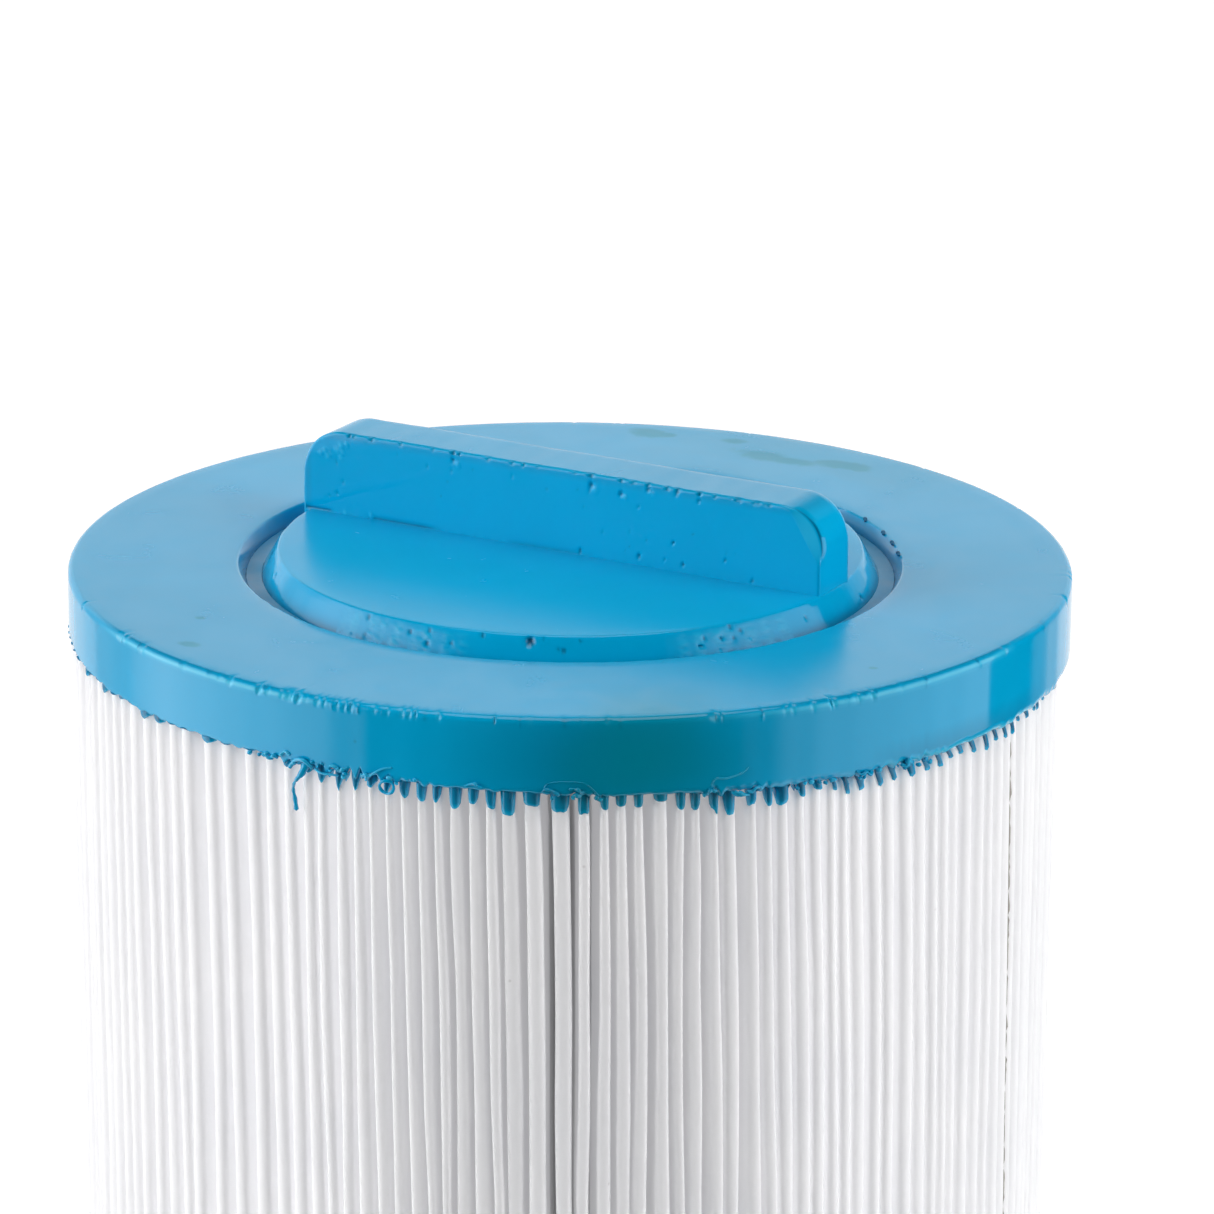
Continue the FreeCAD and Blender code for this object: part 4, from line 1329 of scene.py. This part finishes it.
# ------------------------------------------------------------------ seam bead
SEAM_ANGLE = math.radians(1.1)
SEAM_LOW, SEAM_HIGH = 12.5, 190.5


def build_seam():
    """Uneven bead of glue up the flank of the fold nearest to the seam's angle."""
    height = np.linspace(SEAM_LOW, SEAM_HIGH, 230)
    off_seam = (FOLD_ANGLE[:, LEVELS // 2] - SEAM_ANGLE + math.pi) % FULL_TURN - math.pi
    fold = int(np.abs(off_seam).argmin())
    angle, half_width, tip = (
        np.interp(height, HEIGHTS, values[fold])
        for values in (FOLD_ANGLE, FOLD_HALF_WIDTH, FOLD_TIP)
    )
    wobble = wave_noise(height / (SEAM_HIGH - SEAM_LOW) * 2 * math.pi,
                        [(3, 9, 0.10), (20, 60, 0.16), (60, 110, 0.10)], seed=81)
    bead = np.clip(0.20 + 0.24 * np.clip(wobble, -0.6, 1.0), 0.05, 0.42)
    theta = angle + (half_width + 0.30) / TIP_RADIUS
    radius = tip - 0.55 + 0.15 * wobble
    x, y = PACK[0] + radius * np.cos(theta), PACK[1] + radius * np.sin(theta)
    verts, faces = tube(np.stack([x, y, height], -1), bead)
    return make_object("seam_glue_line", verts, faces, GLUE)


declare(build_seam(), replaces="seam_bead")

# ------------------------------------------------------------------ carried CAD pieces
for piece_name, piece_material in (("core_tube", CORE), ("threaded_adaptor", ADAPTOR)):
    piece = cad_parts[piece_name]
    piece.data.materials.clear()
    piece.data.materials.append(piece_material)

# ------------------------------------------------------------------ floor
FLOOR_HALF = 5.0  # metres
FLOOR_DROP = 0.0002  # metres below the part
FLOOR_LIFT = 0.20  # light added where the camera sees the floor


def floor_material():
    material, tree = new_material("floor_paper")
    position = tree.position()
    paper = tree.noise(position, scale=9.0, rough=0.5)
    colour = tree.mix(tree.remap(paper, span=(0.3, 0.7)), (0.905,) * 3, (0.92,) * 3)
    # the camera's side of the room is dim, so the floor there throws less light back
    x, y, _ = tree.split(position)
    away = tree.weighted(x, -math.sin(TURN), y, math.cos(TURN))
    dim = tree.remap(away, span=(-0.45, 0.05), to=(0.42, 1.0), smooth=True)
    rays = tree.node("ShaderNodeLightPath").outputs
    unseen = tree.calc("SUBTRACT", 1.0, rays["Is Camera Ray"])
    dimmed = tree.mix(dim, (0.0, 0.0, 0.0), colour)
    tree.feed(tree.surface, {
        "Base Color": tree.mix(unseen, colour, dimmed),
        "Roughness": 0.95,
        "Specular IOR Level": 0.0,
        "Emission Color": WHITE,
        "Emission Strength": tree.times(rays["Is Camera Ray"], FLOOR_LIFT),
    })
    # clear from below, and to mirror rays, which see the studio's lamps instead
    clear = tree.node("ShaderNodeBsdfTransparent").outputs[0]
    below = tree.node("ShaderNodeNewGeometry").outputs["Backfacing"]
    see_through = tree.calc("MAXIMUM", below, rays["Is Glossy Ray"])
    tree.finish_mixed(see_through, tree.surface.outputs[0], clear)
    return material


def build_floor():
    mesh = bpy.data.meshes.new("floor")
    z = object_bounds()[0].z - FLOOR_DROP
    corners = ((-1, -1), (1, -1), (1, 1), (-1, 1))
    mesh.from_pydata([(x * FLOOR_HALF, y * FLOOR_HALF, z) for x, y in corners], [],
                     [(0, 1, 2, 3)])
    floor = bpy.data.objects.new("floor", mesh)
    bpy.context.scene.collection.objects.link(floor)
    mesh.materials.append(floor_material())


build_floor()

# ------------------------------------------------------------------ light
SIDE_LAMP = 5.35
OVERHEAD = 1.0
# brightness round the horizon: degrees from the front, brightness
# shiny surfaces mirror soft boxes left and right with black gaps, and white paper behind
MIRRORED_ROOM = (
    (-180.0, 1.0), (-141.0, 0.95), (-137.0, 0.60), (-120.0, 0.62), (-113.0, 1.4),
    (-104.0, 2.1), (-86.0, 1.95), (-70.0, 1.65), (-57.0, 1.25), (-46.0, 0.03), (-30.0, 0.0),
    (40.0, 0.0), (58.0, 0.92), (70.0, 1.18), (86.0, 1.18), (100.0, 1.12), (108.5, 1.12),
    (110.5, 0.0), (128.0, 0.0), (140.0, 0.40), (150.0, 0.85), (158.0, 1.0), (180.0, 1.0),
)
# matt surfaces are lit by the same room, with the side lamps' bright middles
LIGHTING_ROOM = (
    (-180.0, 1.0), (-122.0, 1.0), (-108.0, 1.2), (-100.0, SIDE_LAMP * 0.80),
    (-78.0, SIDE_LAMP * 0.88), (-60.0, SIDE_LAMP), (-46.0, 0.12), (-30.0, 0.03),
    (30.0, 0.03), (46.0, 0.12), (60.0, SIDE_LAMP * 1.04), (72.0, SIDE_LAMP * 0.98),
    (84.0, SIDE_LAMP * 0.70), (97.0, SIDE_LAMP * 0.45), (104.0, 1.0), (120.0, 1.0),
    (180.0, 1.0),
)


def horizon(tree, place, stops, top):
    """Brightness from a table of stops; top is the value that the ramp's white stands for."""
    ramp = tree.node("ShaderNodeValToRGB", {0: place})
    ramp.color_ramp.interpolation = "LINEAR"
    elements = ramp.color_ramp.elements
    elements.remove(elements[-1])
    for i, (degrees, brightness) in enumerate(stops):
        position = min((degrees + 180.0) / 360.0, 1.0)
        element = elements[0] if i == 0 else elements.new(position)
        element.position = position
        element.color = (brightness / top,) * 3 + (1.0,)
    return tree.times(ramp.outputs["Color"], top)


def build_world():
    world = bpy.data.worlds.new("studio")
    bpy.context.scene.world = world
    tree = Tree(world)
    tree.tree.nodes.clear()
    output = tree.node("ShaderNodeOutputWorld")
    direction = tree.node("ShaderNodeTexCoord").outputs["Generated"]
    x, y, z = tree.split(direction)
    cos, sin = math.cos(TURN), math.sin(TURN)
    right = tree.weighted(x, cos, y, sin)
    away = tree.weighted(x, -sin, y, cos)
    azimuth = tree.calc("ARCTAN2", right, tree.times(away, -1.0))  # 0 at the front
    place = tree.remap(azimuth, span=(-math.pi, math.pi))

    def by_height(low, high, to=(0.0, 1.0)):
        """Change between two elevations in degrees."""
        span = (math.sin(math.radians(low)), math.sin(math.radians(high)))
        return tree.remap(z, span=span, to=to, smooth=True)

    def by_side(near, far, to=(0.0, 1.0)):
        """Change between two angles from the front, on both sides alike."""
        span = (math.radians(near), math.radians(far))
        return tree.remap(tree.calc("ABSOLUTE", azimuth), span=span, to=to, smooth=True)

    # what shiny surfaces mirror
    wall = tree.mix(
        by_side(128.0, 136.0),
        by_height(26.0, 52.0, to=(1.0, 0.0)),
        by_height(24.0, 33.0, to=(1.0, 0.03)),
        kind="FLOAT",
    )
    # a brighter band on the side walls, a little above the horizon
    band = tree.times(by_side(56.0, 66.0, to=(0.0, 0.65)), by_side(122.0, 130.0, to=(1.0, 0.0)))
    band = tree.times(band, by_height(-13.0, -3.0))
    band = tree.times(band, by_height(10.0, 20.0, to=(1.0, 0.0)))
    mirrored = horizon(tree, place, MIRRORED_ROOM, top=2.2)
    mirrored = tree.times(mirrored, tree.calc("ADD", 1.0, band))
    ceiling = tree.times(by_height(62.0, 72.0), 1.9)
    shine = tree.calc("ADD", tree.times(mirrored, wall), ceiling)

    # what lights matt surfaces
    lamps = horizon(tree, place, LIGHTING_ROOM, top=20.0)
    light = tree.calc(
        "ADD",
        tree.times(lamps, by_height(33.0, 40.0, to=(1.0, 0.04))),
        tree.times(by_height(52.0, 66.0), OVERHEAD),
    )
    rays = tree.node("ShaderNodeLightPath").outputs
    unseen = tree.mix(rays["Is Glossy Ray"], light, shine, kind="FLOAT")
    strength = tree.mix(rays["Is Camera Ray"], unseen, 1.0, kind="FLOAT")
    background = tree.node("ShaderNodeBackground", {"Color": WHITE, "Strength": strength})
    tree.feed(output, {"Surface": background.outputs[0]})


build_world()

# ------------------------------------------------------------------ camera
# place in the studio's frame, mm from the middle of the upper cap's top face
CAMERA_PLACE = (0.0, -876.171495, 271.720466)
# radians: turn to the right, tilt down, roll about the view axis
CAMERA_YAW, CAMERA_PITCH, CAMERA_ROLL = 0.00639548632, 0.308732307, 0.00873356805
SENSOR_WIDTH = 36.0  # mm
FOCAL_LENGTH = 179.343756  # mm


def build_camera():
    forward = np.array([
        math.sin(CAMERA_YAW) * math.cos(CAMERA_PITCH),
        math.cos(CAMERA_YAW) * math.cos(CAMERA_PITCH),
        -math.sin(CAMERA_PITCH),
    ])
    level = np.cross(forward, [0, 0, 1.0])
    level /= np.linalg.norm(level)
    upward = np.cross(level, forward)
    cos, sin = math.cos(CAMERA_ROLL), math.sin(CAMERA_ROLL)
    right = studio(*(cos * level + sin * upward))
    up = studio(*(-sin * level + cos * upward))
    place = studio(*CAMERA_PLACE) + np.array([0, 0, TOP])
    matrix = np.eye(4)
    matrix[:3] = np.stack([right, up, -studio(*forward), place * MM], 1)
    data = bpy.data.cameras.new("camera")
    data.sensor_width = SENSOR_WIDTH
    data.lens = FOCAL_LENGTH
    data.clip_start, data.clip_end = 0.01, 20.0
    camera = bpy.data.objects.new("camera", data)
    bpy.context.scene.collection.objects.link(camera)
    camera.matrix_world = Matrix(matrix.tolist())
    bpy.context.scene.camera = camera


build_camera()
bpy.context.scene.view_settings.view_transform = "Standard"
bpy.context.scene.view_settings.look = "None"
